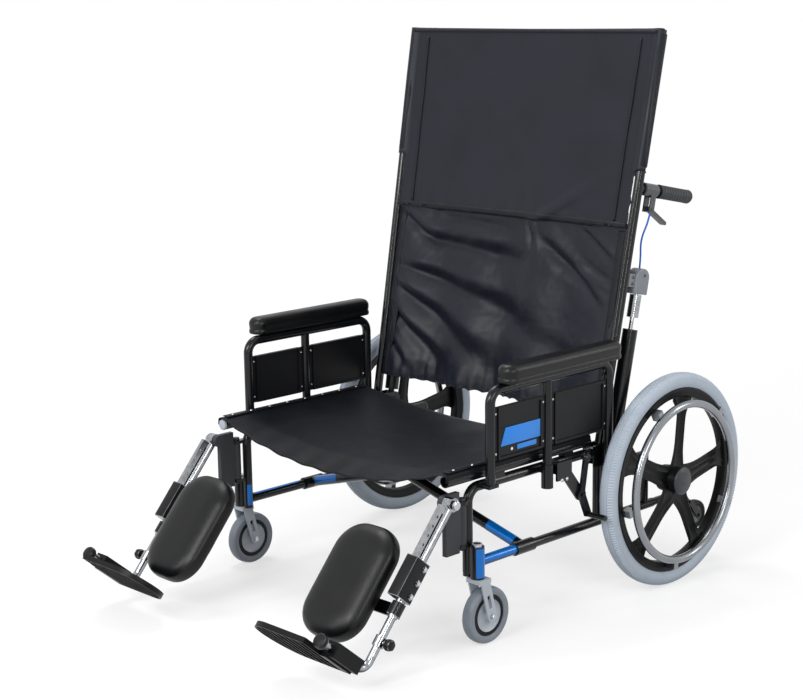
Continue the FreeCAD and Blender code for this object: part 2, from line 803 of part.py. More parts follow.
def caster_fork():
    top = "front_post_foot - seating_gap"
    half = "fork_gap / 2 + fork_plate"
    crown = block(f"2 * ({half})", "fork_leg_width + crown_tail", "crown_thickness",
                  (f"caster_side - ({half})", "front_post_place - fork_leg_width / 2",
                   f"{top} - crown_thickness"))
    stem = rod("stem_od / 2", "housing_height + crown_thickness",
               ("caster_side", "front_post_place", f"{top} - crown_thickness / 2"))
    cap = rod("stem_cap_od / 2", "stem_cap_height",
              ("caster_side", "front_post_place", "front_post_foot + housing_height + seating_gap"))
    shoulder = ("front_post_place + fork_shoulder_back", f"{top} - crown_thickness / 2")
    upper = ("front_post_place + caster_trail / 2", "caster_od / 2 + fork_slot_top")
    lower = ("front_post_place + caster_trail - fork_slot_lean", "caster_od / 2 + fork_slot_bottom")
    pieces = [crown, stem, cap]
    slots = []
    for side in ("+", "-"):
        middle = f"caster_side {side} (fork_gap / 2 + fork_plate / 2)"
        pieces.append(slab(middle, "fork_plate", "fork_leg_width", shoulder, CASTER_AXLE))
        pieces.append(rod("fork_leg_width / 2", "fork_plate",
                          (f"{middle} - fork_plate / 2", *CASTER_AXLE), "x"))
        slots.append(slab(middle, "fork_plate + 2 * bore_overrun", "fork_slot_width", upper, lower))
    bolt = rod("caster_axle_od / 2", f"2 * ({half} + caster_bolt_end)",
               (f"caster_side - ({half}) - caster_bolt_end", *CASTER_AXLE), "x")
    return fuse([cut(fuse(pieces), slots), bolt])


def small_wheel(side, centre, diameter, width, web_width, hub_length, axle):
    """A solid wheel with a round tread, a flat web and a hub."""
    tread = f"{diameter} / 2 - {width} / 2"
    hub_start = f"{side} - ({hub_length}) / 2"
    wheel = fuse([
        hoop(tread, f"{width} / 2", (side, *centre)),
        rod(tread, web_width, (f"{side} - ({web_width}) / 2", *centre), "x"),
        rod(f"{axle} / 2 + small_hub_wall", hub_length, (hub_start, *centre), "x"),
    ])
    return cut(wheel, [bore(f"{axle} / 2 + running_clearance", hub_length, (hub_start, *centre), "x")])


pair("caster_fork", caster_fork())
pair("caster_wheel", small_wheel("caster_side", CASTER_AXLE, "caster_od", "caster_width",
                                 "caster_hub_width",
                                 "fork_gap - 2 * seating_gap", "caster_axle_od"))


# Anti-tip tubes, pushed into the tails of the lower rails
TIP_AXLE = ("axle_place + tip_wheel_back", "tip_wheel_height")


def anti_tipper():
    side = "frame_half_width"
    radius = "lower_rail_od / 2 - tube_wall - running_clearance"
    elbow = ("axle_place + tip_tube_back", "lower_rail_height")
    crown = ("axle_place + tip_crown_back", "tip_crown_height")
    half = "tip_wheel_width / 2 + tip_side_gap + tip_plate"
    pieces = [
        rod(radius, "tip_tube_back + tip_tube_insert",
            (side, "axle_place - tip_tube_insert", "lower_rail_height"), "y"),
        ball(radius, (side, *elbow)),
        slanted(radius, side, elbow, crown),
        rod("tip_plate_width / 2", f"2 * ({half})", (f"{side} - ({half})", *crown), "x"),
        rod("tip_axle_od / 2", f"2 * ({half} + pin_overhang)",
            (f"{side} - ({half}) - pin_overhang", *TIP_AXLE), "x"),
    ]
    for start in (f"{side} + ({half}) - tip_plate", f"{side} - ({half})"):
        pieces.append(slab(f"{start} + tip_plate / 2", "tip_plate", "tip_plate_width", crown, TIP_AXLE))
        pieces.append(rod("tip_eye_radius", "tip_plate", (start, *TIP_AXLE), "x"))
    return fuse(pieces)


pair("anti_tipper", anti_tipper())
pair("anti_tip_wheel", small_wheel("frame_half_width", TIP_AXLE, "tip_wheel_od", "tip_wheel_width",
                                   "tip_web_width",
                                   "tip_wheel_width + 2 * tip_side_gap - 2 * seating_gap", "tip_axle_od"))


# Wheel-lock levers
def wheel_lock_lever():
    pivot = ("axle_place - lock_pivot_ahead", "lock_pivot_height")
    shoe = ("axle_place - lock_shoe_ahead", "lock_shoe_height")
    grip = ("axle_place - lock_handle_ahead", "lock_handle_height")
    inner = "lock_side + seating_gap"
    middle = f"{inner} + lock_lever_thickness / 2"
    lever = fuse([
        slab(middle, "lock_lever_thickness", "lock_shoe_arm_width", pivot, shoe),
        slab(middle, "lock_lever_thickness", "lock_handle_width", pivot, grip),
        rod("lock_lever_eye_radius", "lock_lever_thickness", (inner, *pivot), "x"),
        rod("lock_shoe_od / 2", f"wheel_side + tyre_section / 2 - ({inner})", (inner, *shoe), "x"),
        ball("lock_knob_od / 2", (middle, *grip)),
    ])
    return cut(lever, [bore("lock_pivot_od / 2 + running_clearance", "lock_lever_thickness",
                            (inner, *pivot), "x")])


pair("wheel_lock_lever", wheel_lock_lever())


# Armrests
def armrest_tubes(thinner):
    radius = f"armrest_tube_od / 2 - {thinner}"
    side = "armrest_side"
    front = "axle_place - armrest_front_ahead"
    rear = "axle_place - armrest_rear_ahead"
    bend_start = f"{front} + armrest_bend_radius"
    bend_end = f"{rear} - armrest_bend_radius"
    bend_height = "armrest_bar_height - armrest_bend_radius"
    return [
        rod(radius, f"{bend_height} - armrest_front_foot", (side, front, "armrest_front_foot")),
        bend("armrest_bend_radius", radius, (side, bend_start, bend_height), POST_TO_RAIL),
        rod(radius, "armrest_front_ahead - armrest_rear_ahead - 2 * armrest_bend_radius",
            (side, bend_start, "armrest_bar_height"), "y"),
        bend("armrest_bend_radius", radius, (side, bend_end, bend_height), RAIL_TO_POST),
        rod(radius, f"{bend_height} - armrest_foot", (side, rear, "armrest_foot")),
    ]


def armrest_frame():
    mid = ("armrest_side", "axle_place - armrest_mid_ahead", "armrest_foot")
    mid_length = "armrest_bar_height - armrest_foot"
    outer = armrest_tubes("0") + [rod("mid_post_od / 2", mid_length, mid)]
    inner = armrest_tubes("tube_wall") + [rod("mid_post_od / 2 - tube_wall", mid_length, mid)]
    return cut(fuse(outer), inner)


def skirt_panel(front_post_ahead, rear_post_ahead):
    """A flat panel with a raised bead round both faces, fitted between two armrest posts."""
    gap = "armrest_tube_od / 2 + running_clearance"
    start = f"axle_place - {front_post_ahead} + {gap}"
    length = f"{front_post_ahead} - {rear_post_ahead} - 2 * ({gap})"
    height = "panel_top - panel_bottom"
    half = "panel_thickness / 2 + panel_bead"
    inset = "(panel_bead_margin + panel_bead_width)"
    plate = block("panel_thickness", length, height,
                  ("armrest_side - panel_thickness / 2", start, "panel_bottom"))
    bead = cut(
        block(f"2 * ({half})", f"{length} - 2 * panel_bead_margin", height,
              (f"armrest_side - ({half})", f"{start} + panel_bead_margin", "panel_bottom")),
        [block(f"2 * ({half} + bore_overrun)", f"{length} - 2 * {inset}",
               f"{height} - 2 * panel_bead_width",
               (f"armrest_side - ({half}) - bore_overrun", f"{start} + {inset}",
                "panel_bottom + panel_bead_width"))])
    return fuse([plate, bead])


def armrest_panels():
    """Both skirt panels of one side, and the plain plate on the front one."""
    front = skirt_panel("armrest_front_ahead", "armrest_mid_ahead")
    rear = skirt_panel("armrest_mid_ahead", "armrest_rear_ahead")
    middle = "axle_place - (armrest_front_ahead + armrest_mid_ahead) / 2"
    plate = block("plate_thickness", "plate_length", "plate_height",
                  ("armrest_side + panel_thickness / 2", f"{middle} - plate_length / 2",
                   "panel_bottom + plate_lift"))
    thing = doc.addObject("Part::Compound", "panels")
    thing.Links = [front, rear, plate]
    return thing


pair("armrest_frame", armrest_frame())
pair("armrest_panels", armrest_panels())


# Back canes.  A cane's own frame has Z up the cane, Y behind it, and its origin at the cane's foot.
CANE_FOOT = ("frame_half_width", "cane_place", "cane_foot_height")
CANE_TURN = ("0", "cane_splay", "-cane_lean")
LUG_TURN = ("0", "0", "-cane_lean")


def on_cane(things):
    return group(things, CANE_FOOT, CANE_TURN)


def back_cane():
    """The leaning tube with its handle stub, and the hinge lug behind its foot."""
    low = "-lug_eye_radius"
    outer = fuse([
        rod("cane_od / 2", "cane_length + lug_eye_radius", ("0", "0", low)),
        rod("handle_od / 2", "handle_reach", ("0", "0", "handle_along"), "y"),
    ])
    inner = [
        rod("cane_od / 2 - tube_wall", "cane_length - cane_plug", ("0", "0", "cane_plug")),
        rod("handle_od / 2 - tube_wall", "handle_reach", ("0", "0", "handle_along"), "y"),
    ]
    lug = fuse([
        block("lug_web", "recline_pivot_behind", "2 * lug_eye_radius", ("-lug_web / 2", "0", low)),
        rod("lug_eye_radius", "lug_width", ("-lug_width / 2", "recline_pivot_behind", "0"), "x"),
    ])
    pin_room = bore("recline_pin_od / 2 + running_clearance", "lug_width",
                    ("frame_half_width - lug_width / 2", "recline_place", "recline_height"), "x")
    return cut(fuse([on_cane([cut(outer, inner)]), group([lug], CANE_FOOT, LUG_TURN)]), [pin_room])


def push_grip():
    start = "handle_reach - grip_length"
    grip = rod("grip_od / 2", "grip_length + grip_cap", ("0", start, "handle_along"), "y")
    bore = rod("handle_od / 2", "grip_length", ("0", start, "handle_along"), "y")
    return on_cane([cut(grip, [bore])])


LEVER_PIVOT = ("lever_pivot_behind", "handle_along - lever_pivot_drop")
LEVER_TIP = ("lever_tip_behind", "handle_along - lever_tip_drop")


def lever_clamp():
    """The clamp round the handle stub, with two ears that hold the lever's pin."""
    half_room = "(lever_width / 2 + seating_gap)"
    half = "(lever_width / 2 + seating_gap + ear_thickness)"
    low = "handle_along - lever_pivot_drop - ear_end"
    room_height = "lever_pivot_drop + ear_end - clamp_od / 2 - ear_roof"
    ring = rod("clamp_od / 2", "clamp_length", ("0", "clamp_start", "handle_along"), "y")
    ears = block(f"2 * {half}", "ear_depth", "lever_pivot_drop + ear_end",
                 (f"-{half}", "lever_pivot_behind - ear_depth / 2", low))
    room = block(f"2 * {half_room}", "ear_depth + 2 * bore_overrun", f"{room_height} + bore_overrun",
                 (f"-{half_room}", "lever_pivot_behind - ear_depth / 2 - bore_overrun",
                  f"{low} - bore_overrun"))
    handle = bore("handle_od / 2", "clamp_length", ("0", "clamp_start", "handle_along"), "y")
    pin = rod("lever_pin_od / 2", f"2 * ({half} + lever_pin_end)",
              (f"-{half} - lever_pin_end", *LEVER_PIVOT), "x")
    return on_cane([fuse([cut(fuse([ring, ears]), [room, handle]), pin])])


def recline_lever():
    start = "-lever_width / 2"
    lever = fuse([
        slab("0", "lever_width", "lever_thickness", LEVER_PIVOT, LEVER_TIP),
        rod("lever_eye_radius", "lever_width", (start, *LEVER_PIVOT), "x"),
        rod("lever_thickness / 2", "lever_width", (start, *LEVER_TIP), "x"),
    ])
    pin_room = bore("lever_pin_od / 2 + running_clearance", "lever_width", (start, *LEVER_PIVOT), "x")
    return on_cane([cut(lever, [pin_room])])


def recline_head():
    """The release head clamped behind the cane, open below for the rod's eye."""
    front = "strut_pivot_behind - head_depth / 2"
    pivot = ("strut_pivot_behind", "strut_pivot_along")
    half_room = "(rod_eye_width / 2 + rod_eye_gap)"
    reach = "(rod_eye_radius + rod_eye_room)"
    box = block("head_width", "head_depth", "head_height", ("-head_width / 2", front, "head_bottom"))
    arm = block("head_arm_width", f"{front} + tube_wall", "head_height / 2",
                ("-head_arm_width / 2", "0", "head_bottom + head_height / 4"))
    room = block(f"2 * {half_room}", f"2 * {reach}",
                 f"strut_pivot_along - head_bottom + {reach} + bore_overrun",
                 (f"-{half_room}", f"strut_pivot_behind - {reach}", "head_bottom - bore_overrun"))
    cane = rod("cane_od / 2", "cane_length", ("0", "0", "0"))
    pin = rod("head_pin_od / 2", "head_width - 2 * tube_wall", ("tube_wall - head_width / 2", *pivot), "x")
    return on_cane([fuse([cut(fuse([box, arm]), [room, cane]), pin])])


def recline_rod():
    """The strut's rod with its sleeve, hung from the pin of the release head."""
    eye_start = "-rod_eye_width / 2"
    strut = fuse([
        rod("rod_od / 2", "rod_length", ("0", "0", "-rod_length")),
        rod("sleeve_od / 2", "sleeve_length", ("0", "0", "-sleeve_top_drop - sleeve_length")),
        rod("rod_eye_radius", "rod_eye_width", (eye_start, "0", "0"), "x"),
    ])
    pin_room = bore("head_pin_od / 2 + running_clearance", "rod_eye_width", (eye_start, "0", "0"), "x")
    return group([cut(strut, [pin_room])], ("strut_top_side", "strut_top_place", "strut_top_height"),
                 ("0", "cane_splay", "-strut_lean"))


def recline_tube():
    """The strut's lower tube, open at its top for the rod, with an eye on the bracket's pin."""
    foot = ("frame_half_width", "strut_place", "strut_height")
    turn = ("0", "cane_splay", "-strut_lean")
    tube_length = "strut_tube_end - strut_tube_start"
    floor = "strut_tube_start + strut_tube_floor"
    barrel = cut(
        fuse([
            rod("strut_tube_od / 2", tube_length, ("0", "0", "strut_tube_start")),
            rod("strut_neck_od / 2", "strut_tube_start + strut_tube_floor / 2", ("0", "0", "0")),
        ]),
        [
            rod("strut_tube_bore / 2", f"{tube_length} - strut_bush_length - strut_tube_floor",
                ("0", "0", floor)),
            rod("strut_bush_bore / 2", tube_length, ("0", "0", floor)),
        ])
    eye_at = ("frame_half_width - strut_eye_width / 2", "strut_place", "strut_height")
    eye = rod("strut_eye_radius", "strut_eye_width", eye_at, "x")
    pin_room = bore("strut_pin_od / 2 + running_clearance", "strut_eye_width", eye_at, "x")
    return cut(fuse([group([barrel], foot, turn), eye]), [pin_room])


def cane_rotation():
    return Rotation(0, size("cane_splay"), -size("cane_lean"))


def cane_direction():
    """The left cane's direction, from its foot to its top."""
    return cane_rotation().multVec(Z_AXIS)


def cane_point(behind, along, across=0.0):
    """A point of the left cane's frame, in the chair's frame."""
    foot = Vector(size("frame_half_width"), size("cane_place"), size("cane_foot_height"))
    return foot + cane_rotation().multVec(Vector(across, behind, along))


# Share of a run's shorter neighbour that each cable bend may use.
CORNER_SHARE = 0.45


def rounded_path(points):
    """Straight runs joined by tangent arcs, each as large as its two runs allow."""
    edges = []
    start = points[0]
    for before, corner, after in zip(points, points[1:], points[2:]):
        back = before - corner
        ahead = after - corner
        reach = CORNER_SHARE * min(back.Length, ahead.Length)
        back.normalize()
        ahead.normalize()
        entry = corner + back * reach
        leave = corner + ahead * reach
        half_turn = (math.pi - back.getAngle(ahead)) / 2
        radius = reach / math.tan(half_turn)
        middle = corner + (back + ahead).normalize() * (radius / math.cos(half_turn) - radius)
        print(f"cable bend radius {radius:.1f} mm")
        edges.append(Part.LineSegment(start, entry).toShape())
        edges.append(Part.Arc(entry, middle, leave).toShape())
        start = leave
    edges.append(Part.LineSegment(start, points[-1]).toShape())
    return Part.Wire(edges)


def recline_cable():
    """The release cable, from the lever's clamp down into the top of the release head."""
    thing = doc.addObject("Part::Feature", "cable")
    top = size("head_bottom") + size("head_height") + size("seating_gap")
    start = size("handle_along") - size("lever_pivot_drop") - size("ear_end") - size("seating_gap")
    side = size("lever_width") / 2 + size("seating_gap") + size("ear_thickness") / 2
    lever = size("lever_pivot_behind")
    strut = size("strut_pivot_behind")
    points = [
        cane_point(lever - 3, start, side),
        cane_point(lever - 6, start - 24, side),
        cane_point(lever - 15, start - 54, side - 3),
        cane_point(strut - 14, top + 52, side - 6),
        cane_point(strut - 4, top + 24, side - 8),
        cane_point(strut - 2, top, side - 8),
    ]
    path = rounded_path(points)
    profile = Part.Wire(Part.makeCircle(size("cable_od") / 2, points[0], points[1] - points[0]))
    thing.Shape = path.makePipeShell([profile], True, False)
    ideal = math.pi * size("cable_od") ** 2 / 4 * path.Length
    print(f"cable volume {thing.Shape.Volume:.0f} mm3, section times length {ideal:.0f} mm3")
    return thing


pair("back_cane", back_cane())
pair("push_grip", push_grip())
pair("lever_clamp", lever_clamp())
pair("recline_lever", recline_lever())
pair("recline_head", recline_head())
pair("recline_rod", recline_rod())
pair("recline_tube", recline_tube())
pair("recline_cable", recline_cable())


# Legrests.  A leg's own frame has Z up the leg, -Y towards the toes, and its origin at the leg's pivot.
LEG_PIVOT = ("leg_side", "leg_place", "leg_pivot_height")
LEG_TURN = ("0", "0", "-leg_angle")


def on_leg(things):
    return group(things, LEG_PIVOT, LEG_TURN)


def legrest_hanger():
    """The swing-away casting: hinge pin and knuckle, side plate, and the leg's pivot bolt."""
    low = "hinge_lug_low + hinge_lug_thickness + seating_gap"
    height = f"hinge_lug_high - seating_gap - ({low})"
    reach = "hinge_lug_width / 2 + hanger_lug_gap"
    plate_side = "hinge_side - hanger_thickness / 2"
    plate_depth = f"leg_pivot_ahead - hinge_ahead - ({reach})"
    bolt_end = "leg_side + leg_tube_od / 2 + leg_bolt_end"
    pin_top = "hinge_lug_high + hinge_lug_thickness"
    pin_bottom = "hinge_lug_low - hinge_pin_end"
    return fuse([
        rod("hinge_pin_od / 2", f"{pin_top} + hinge_pin_end - ({pin_bottom})",
            ("hinge_side", "hinge_place", pin_bottom)),
        rod("hinge_cap_od / 2", "hinge_pin_end", ("hinge_side", "hinge_place", f"{pin_top} + seating_gap")),
        rod("knuckle_od / 2", height, ("hinge_side", "hinge_place", low)),
        block("hanger_thickness", reach, height, (plate_side, f"hinge_place - ({reach})", low)),
        block("hanger_thickness", plate_depth, "leg_pivot_height - hanger_bottom",
              (plate_side, "leg_place", "hanger_bottom")),
        rod("leg_eye_radius", "hanger_thickness", (plate_side, "leg_place", "leg_pivot_height"), "x"),
        block("hanger_thickness", plate_depth, "2 * leg_eye_radius",
              (plate_side, "leg_place", "leg_pivot_height - leg_eye_radius")),
        rod("leg_pivot_od / 2", f"{bolt_end} - hinge_side",
            ("hinge_side", "leg_place", "leg_pivot_height"), "x"),
        rod("leg_bolt_head_od / 2", "leg_bolt_head",
            (f"{bolt_end} - leg_bolt_head", "leg_place", "leg_pivot_height"), "x"),
    ])


def legrest_tube():
    """The elevating tube with its holed side bar and the clamp that joins them."""
    clamp_toe = "leg_bar_toe + leg_bar_depth / 2 + leg_clamp_wall"
    bar_side = "-leg_bar_thickness / 2"
    bar_back = "-leg_bar_toe - leg_bar_depth / 2"
    bar_length = "leg_clamp_start - leg_eye_radius + leg_bar_sink"
    pieces = fuse([
        rod("leg_tube_od / 2", "leg_tube_end", ("0", "0", "-leg_tube_end")),
        rod("leg_eye_radius", "leg_tube_od", ("-leg_tube_od / 2", "0", "0"), "x"),
        block("leg_bar_thickness", "leg_bar_depth", bar_length,
              (bar_side, bar_back, "-leg_clamp_start - leg_bar_sink")),
        block("leg_bar_thickness", "leg_bar_toe", "leg_bar_depth",
              (bar_side, "-leg_bar_toe", "-leg_eye_radius - leg_bar_depth")),
        block("leg_clamp_width", f"leg_clamp_width / 2 + {clamp_toe}", "leg_clamp_length",
              ("-leg_clamp_width / 2", f"-({clamp_toe})", "-leg_clamp_start - leg_clamp_length")),
    ])
    bores = [
        rod("foot_tube_od / 2 + running_clearance", "leg_tube_end - leg_eye_radius - leg_tube_floor",
            ("0", "0", "-leg_tube_end")),
        bore("leg_pivot_od / 2 + running_clearance", "leg_tube_od", ("-leg_tube_od / 2", "0", "0"), "x"),
    ]
    for step in range(SIZES["leg_hole_count"]):
        hole_down = f"leg_eye_radius + leg_hole_start + {step} * leg_hole_pitch"
        bores.append(bore("leg_hole_od / 2", "leg_bar_thickness",
                          (bar_side, "-leg_bar_toe", f"-({hole_down})"), "x"))
    return on_leg([cut(pieces, bores)])


def calf_bracket():
    """The collar that turns on the leg tube below the clamp, and the arm behind the calf pad."""
    back = "calf_pad_thickness / 2 - calf_pad_toe"
    low = "-calf_collar_down - calf_collar_height"
    arm_length = "calf_pad_inset + calf_pad_width / 4"
    collar = rod("calf_collar_od / 2", "calf_collar_height", ("0", "0", low))
    arm = block(arm_length, "calf_arm_thickness", "calf_collar_height", (f"-({arm_length})", back, low))
    step = block("calf_collar_od", f"{back} + calf_arm_thickness - leg_tube_od / 2", "calf_collar_height",
                 ("-calf_collar_od", "leg_tube_od / 2", low))
    tube_room = bore("leg_tube_od / 2 + running_clearance", "calf_collar_height", ("0", "0", low), "z")
    return on_leg([cut(fuse([collar, arm, step]), [tube_room])])


def foot_tube():
    """The sliding tube that bends towards the toes, with its collar, clamp knob and end bumper."""
    radius = "foot_tube_od / 2"
    bend_down = "foot_down - foot_bend_radius"
    collar_low = "-foot_clamp_down - foot_collar_height / 2"
    knob_start = f"{radius} + foot_clamp_stem"
    outer = [
        rod(radius, f"{bend_down} - foot_tube_insert", ("0", "0", f"-({bend_down})")),
        bend("foot_bend_radius", radius, ("0", "-foot_bend_radius", f"-({bend_down})"), LEG_TO_TOE),
        rod(radius, "foot_toe_reach - foot_bend_radius", ("0", "-foot_toe_reach", "-foot_down"), "y"),
        rod("foot_knob_od / 2", "foot_knob_length",
            ("0", "-foot_toe_reach - foot_knob_length / 2", "-foot_down"), "y"),
        rod("foot_collar_od / 2", "foot_collar_height", ("0", "0", collar_low)),
        rod("foot_clamp_stem_od / 2", knob_start, ("0", "0", "-foot_clamp_down"), "x"),
        rod("foot_clamp_knob_od / 2", "foot_clamp_knob_length", (knob_start, "0", "-foot_clamp_down"), "x"),
    ]
    inner = rod(f"{radius} - tube_wall", "foot_clamp_down - foot_tube_insert",
                ("0", "0", "-foot_clamp_down + foot_tube_od"))
    return on_leg([cut(fuse(outer), [inner])])


def footplate_outline(margin, height, level):
    """The plate's outline, square at its hinge and round at its inner end, drawn in by a margin."""
    radius = "(footplate_toe - footplate_heel) / 2"
    middle = "-(footplate_toe + footplate_heel) / 2"
    centre = f"-footplate_width + {radius}"
    straight = f"footplate_width - footplate_hinge_gap - {radius} - {margin}"
    return fuse([
        block(straight, f"2 * ({radius} - {margin})", height,
              (centre, f"{middle} - {radius} + {margin}", level)),
        rod(f"{radius} - {margin}", height, (centre, middle, level)),
    ])


def footplate_ribs(bottom):
    """Ribs from heel to toe, trimmed to the plate's outline."""
    pitch = "(footplate_width - footplate_hinge_gap - footplate_rib) / (footplate_rib_count + 1)"
    bars = [
        block("footplate_rib", "footplate_toe - footplate_heel", "footplate_thickness",
              (f"-footplate_width + {step} * {pitch}", "-footplate_toe", bottom))
        for step in range(1, SIZES["footplate_rib_count"] + 1)
    ]
    thing = doc.addObject("Part::Common", "ribs")
    thing.Base = fuse(bars)
    thing.Tool = footplate_outline("0", "footplate_thickness", bottom)
    return thing


def footplate():
    """A ribbed plate hinged on the toe run of the foot tube, with a square hinge block."""
    top = "-foot_down - footplate_drop"
    bottom = f"{top} - footplate_thickness"
    length = "footplate_barrel_toe - footplate_heel"
    skin = footplate_outline("0", "footplate_skin", f"{top} - footplate_skin")
    rim = cut(footplate_outline("0", "footplate_thickness", bottom),
              [footplate_outline("footplate_rib", "footplate_thickness", bottom)])
    hinge_block = block("2 * footplate_hinge_gap", length, "footplate_block_height",
                        ("-footplate_hinge_gap", "-footplate_barrel_toe",
                         "-foot_down - footplate_block_height / 2"))
    web = block("footplate_hinge_gap + footplate_rib", length, "footplate_thickness - footplate_drop / 2",
                ("-footplate_hinge_gap - footplate_rib", "-footplate_barrel_toe", bottom))
    tube_room = bore("foot_tube_od / 2 + running_clearance", length,
                     ("0", "-footplate_barrel_toe", "-foot_down"), "y")
    return on_leg([cut(fuse([skin, rim, hinge_block, web, footplate_ribs(bottom)]), [tube_room])])


pair("legrest_hanger", legrest_hanger())
pair("legrest_tube", legrest_tube())
pair("calf_bracket", calf_bracket())
pair("foot_tube", foot_tube())
pair("footplate", footplate())


# Cross brace.  Each tube carries the seat rail of the far side and turns on the near lower rail.
def cross_brace(sign, ahead):
    place = f"axle_place - ({ahead})"
    turn = ("0", f"({sign}) * (cross_angle - 90)", "0")
    foot = (f"({sign}) * frame_half_width", place, "lower_rail_height")
    rail_start = (f"-({sign}) * frame_half_width", "axle_place - seat_rail_front_ahead", "seat_rail_height")
    rail_length = "seat_rail_front_ahead - seat_rail_rear_ahead"
    sleeve_start = (foot[0], f"{place} - cross_sleeve_length / 2", "lower_rail_height")
    strut = cut(rod("cross_tube_od / 2", "cross_length", foot, turn),
                [rod("cross_tube_od / 2 - tube_wall", "cross_length", foot, turn)])
    solid = fuse([
        strut,
        rod("cross_sleeve_od / 2", "cross_sleeve_length", sleeve_start, "y"),
        rod("seat_rail_od / 2", rail_length, rail_start, "y"),
    ])
    return cut(solid, [
        bore("lower_rail_od / 2 + running_clearance", "cross_sleeve_length", sleeve_start, "y"),
        rod("seat_rail_od / 2 - tube_wall", rail_length, rail_start, "y"),
        bore("cross_bolt_od / 2 + running_clearance", "cross_tube_od",
             ("0", f"{place} - cross_tube_od / 2", "cross_mid_height"), "y"),
    ])


def cross_pivot_bolt():
    centre = "axle_place - cross_ahead"
    half_span = "(cross_spacing / 2 + cross_tube_od / 2 + seating_gap)"
    washer = "cross_spacing - cross_tube_od - 2 * seating_gap"
    head = ("cross_bolt_head_od / 2", "cross_bolt_head")
    return fuse([
        rod("cross_bolt_od / 2", f"2 * {half_span}",
            ("0", f"{centre} - {half_span}", "cross_mid_height"), "y"),
        rod(*head, ("0", f"{centre} - {half_span} - cross_bolt_head", "cross_mid_height"), "y"),
        rod(*head, ("0", f"{centre} + {half_span}", "cross_mid_height"), "y"),
        rod("cross_bolt_head_od / 2", washer, ("0", f"{centre} - ({washer}) / 2", "cross_mid_height"), "y"),
    ])


node("cross_brace_a", cross_brace("1", "cross_ahead + cross_spacing / 2"))
node("cross_brace_b", cross_brace("-1", "cross_ahead - cross_spacing / 2"))
node("cross_pivot_bolt", cross_pivot_bolt())


# Soft pieces: lofts through lines and arcs, read from the sheet in code
def drawn(name, shape):
    thing = doc.addObject("Part::Feature", name)
    thing.Shape = shape
    return thing


def rounded_rectangle(half_x, half_y, corner, level):
    """A flat outline with round corners, at the given Z."""
    slack = corner * (1 - math.sqrt(0.5))
    edges = []
    previous = None
    first = None
    for turn_x, turn_y in ((1, -1), (1, 1), (-1, 1), (-1, -1)):
        along_first = turn_x == turn_y
        near_y = Vector(turn_x * half_x, turn_y * (half_y - corner), level)
        near_x = Vector(turn_x * (half_x - corner), turn_y * half_y, level)
        middle = Vector(turn_x * (half_x - slack), turn_y * (half_y - slack), level)
        start, end = (near_y, near_x) if along_first else (near_x, near_y)
        if previous is not None:
            edges.append(Part.LineSegment(previous, start).toShape())
        else:
            first = start
        edges.append(Part.Arc(start, middle, end).toShape())
        previous = end
    edges.append(Part.LineSegment(previous, first).toShape())
    return Part.Wire(edges)


def cushion(width, length, thickness, corner, crown):
    """A padded block standing on Z = 0: sides drawn in at its seam, and a crowned top."""
    levels = (
        (0.0, crown * 0.5),
        (thickness * 0.22, 0.0),
        (thickness * 0.62, 0.0),
        (thickness * 0.9, crown * 0.45),
        (thickness, crown),
    )
    outlines = [
        rounded_rectangle(width / 2 - inset, length / 2 - inset, corner - inset, level)
        for level, inset in levels
    ]
    return Part.makeLoft(outlines, True, False)


def armrest_pad():
    length = size("pad_front_ahead") - size("pad_rear_ahead")
    shape = cushion(size("pad_width"), length, size("pad_thickness"), size("pad_corner"), size("pad_crown"))
    middle = size("axle_place") - (size("pad_front_ahead") + size("pad_rear_ahead")) / 2
    thing = drawn("pad", shape)
    thing.Placement.Base = Vector(size("armrest_side") + size("pad_outset"), middle, size("pad_height"))
    return thing


def calf_pad():
    """A cushion with its crown towards the toes."""
    thing = drawn("calf", cushion(size("calf_pad_width"), size("calf_pad_height"),
                                  size("calf_pad_thickness"),
                                  size("calf_pad_corner"), size("calf_pad_crown")))
    leg_turn = Rotation(X_AXIS, -size("leg_angle"))
    back = size("calf_pad_thickness") / 2 - size("calf_pad_toe")
    pivot = Vector(size("leg_side"), size("leg_place"), size("leg_pivot_height"))
    centre = leg_turn.multVec(Vector(-size("calf_pad_inset"), back, -size("calf_pad_down")))
    thing.Placement = FreeCAD.Placement(pivot + centre, leg_turn * Rotation(X_AXIS, 90))
    return thing


def cloth_outline(front, thickness):
    """A strip of cloth seen from above: arcs through the front points, and again behind them."""
    back = [point + thickness for point in front]
    edges = [Part.Arc(*front[first:first + 3]).toShape() for first in range(0, len(front) - 2, 2)]
    edges.append(Part.LineSegment(front[-1], back[-1]).toShape())
    back.reverse()
    edges += [Part.Arc(*back[first:first + 3]).toShape() for first in range(0, len(back) - 2, 2)]
    edges.append(Part.LineSegment(back[-1], front[0]).toShape())
    return Part.Wire(edges)


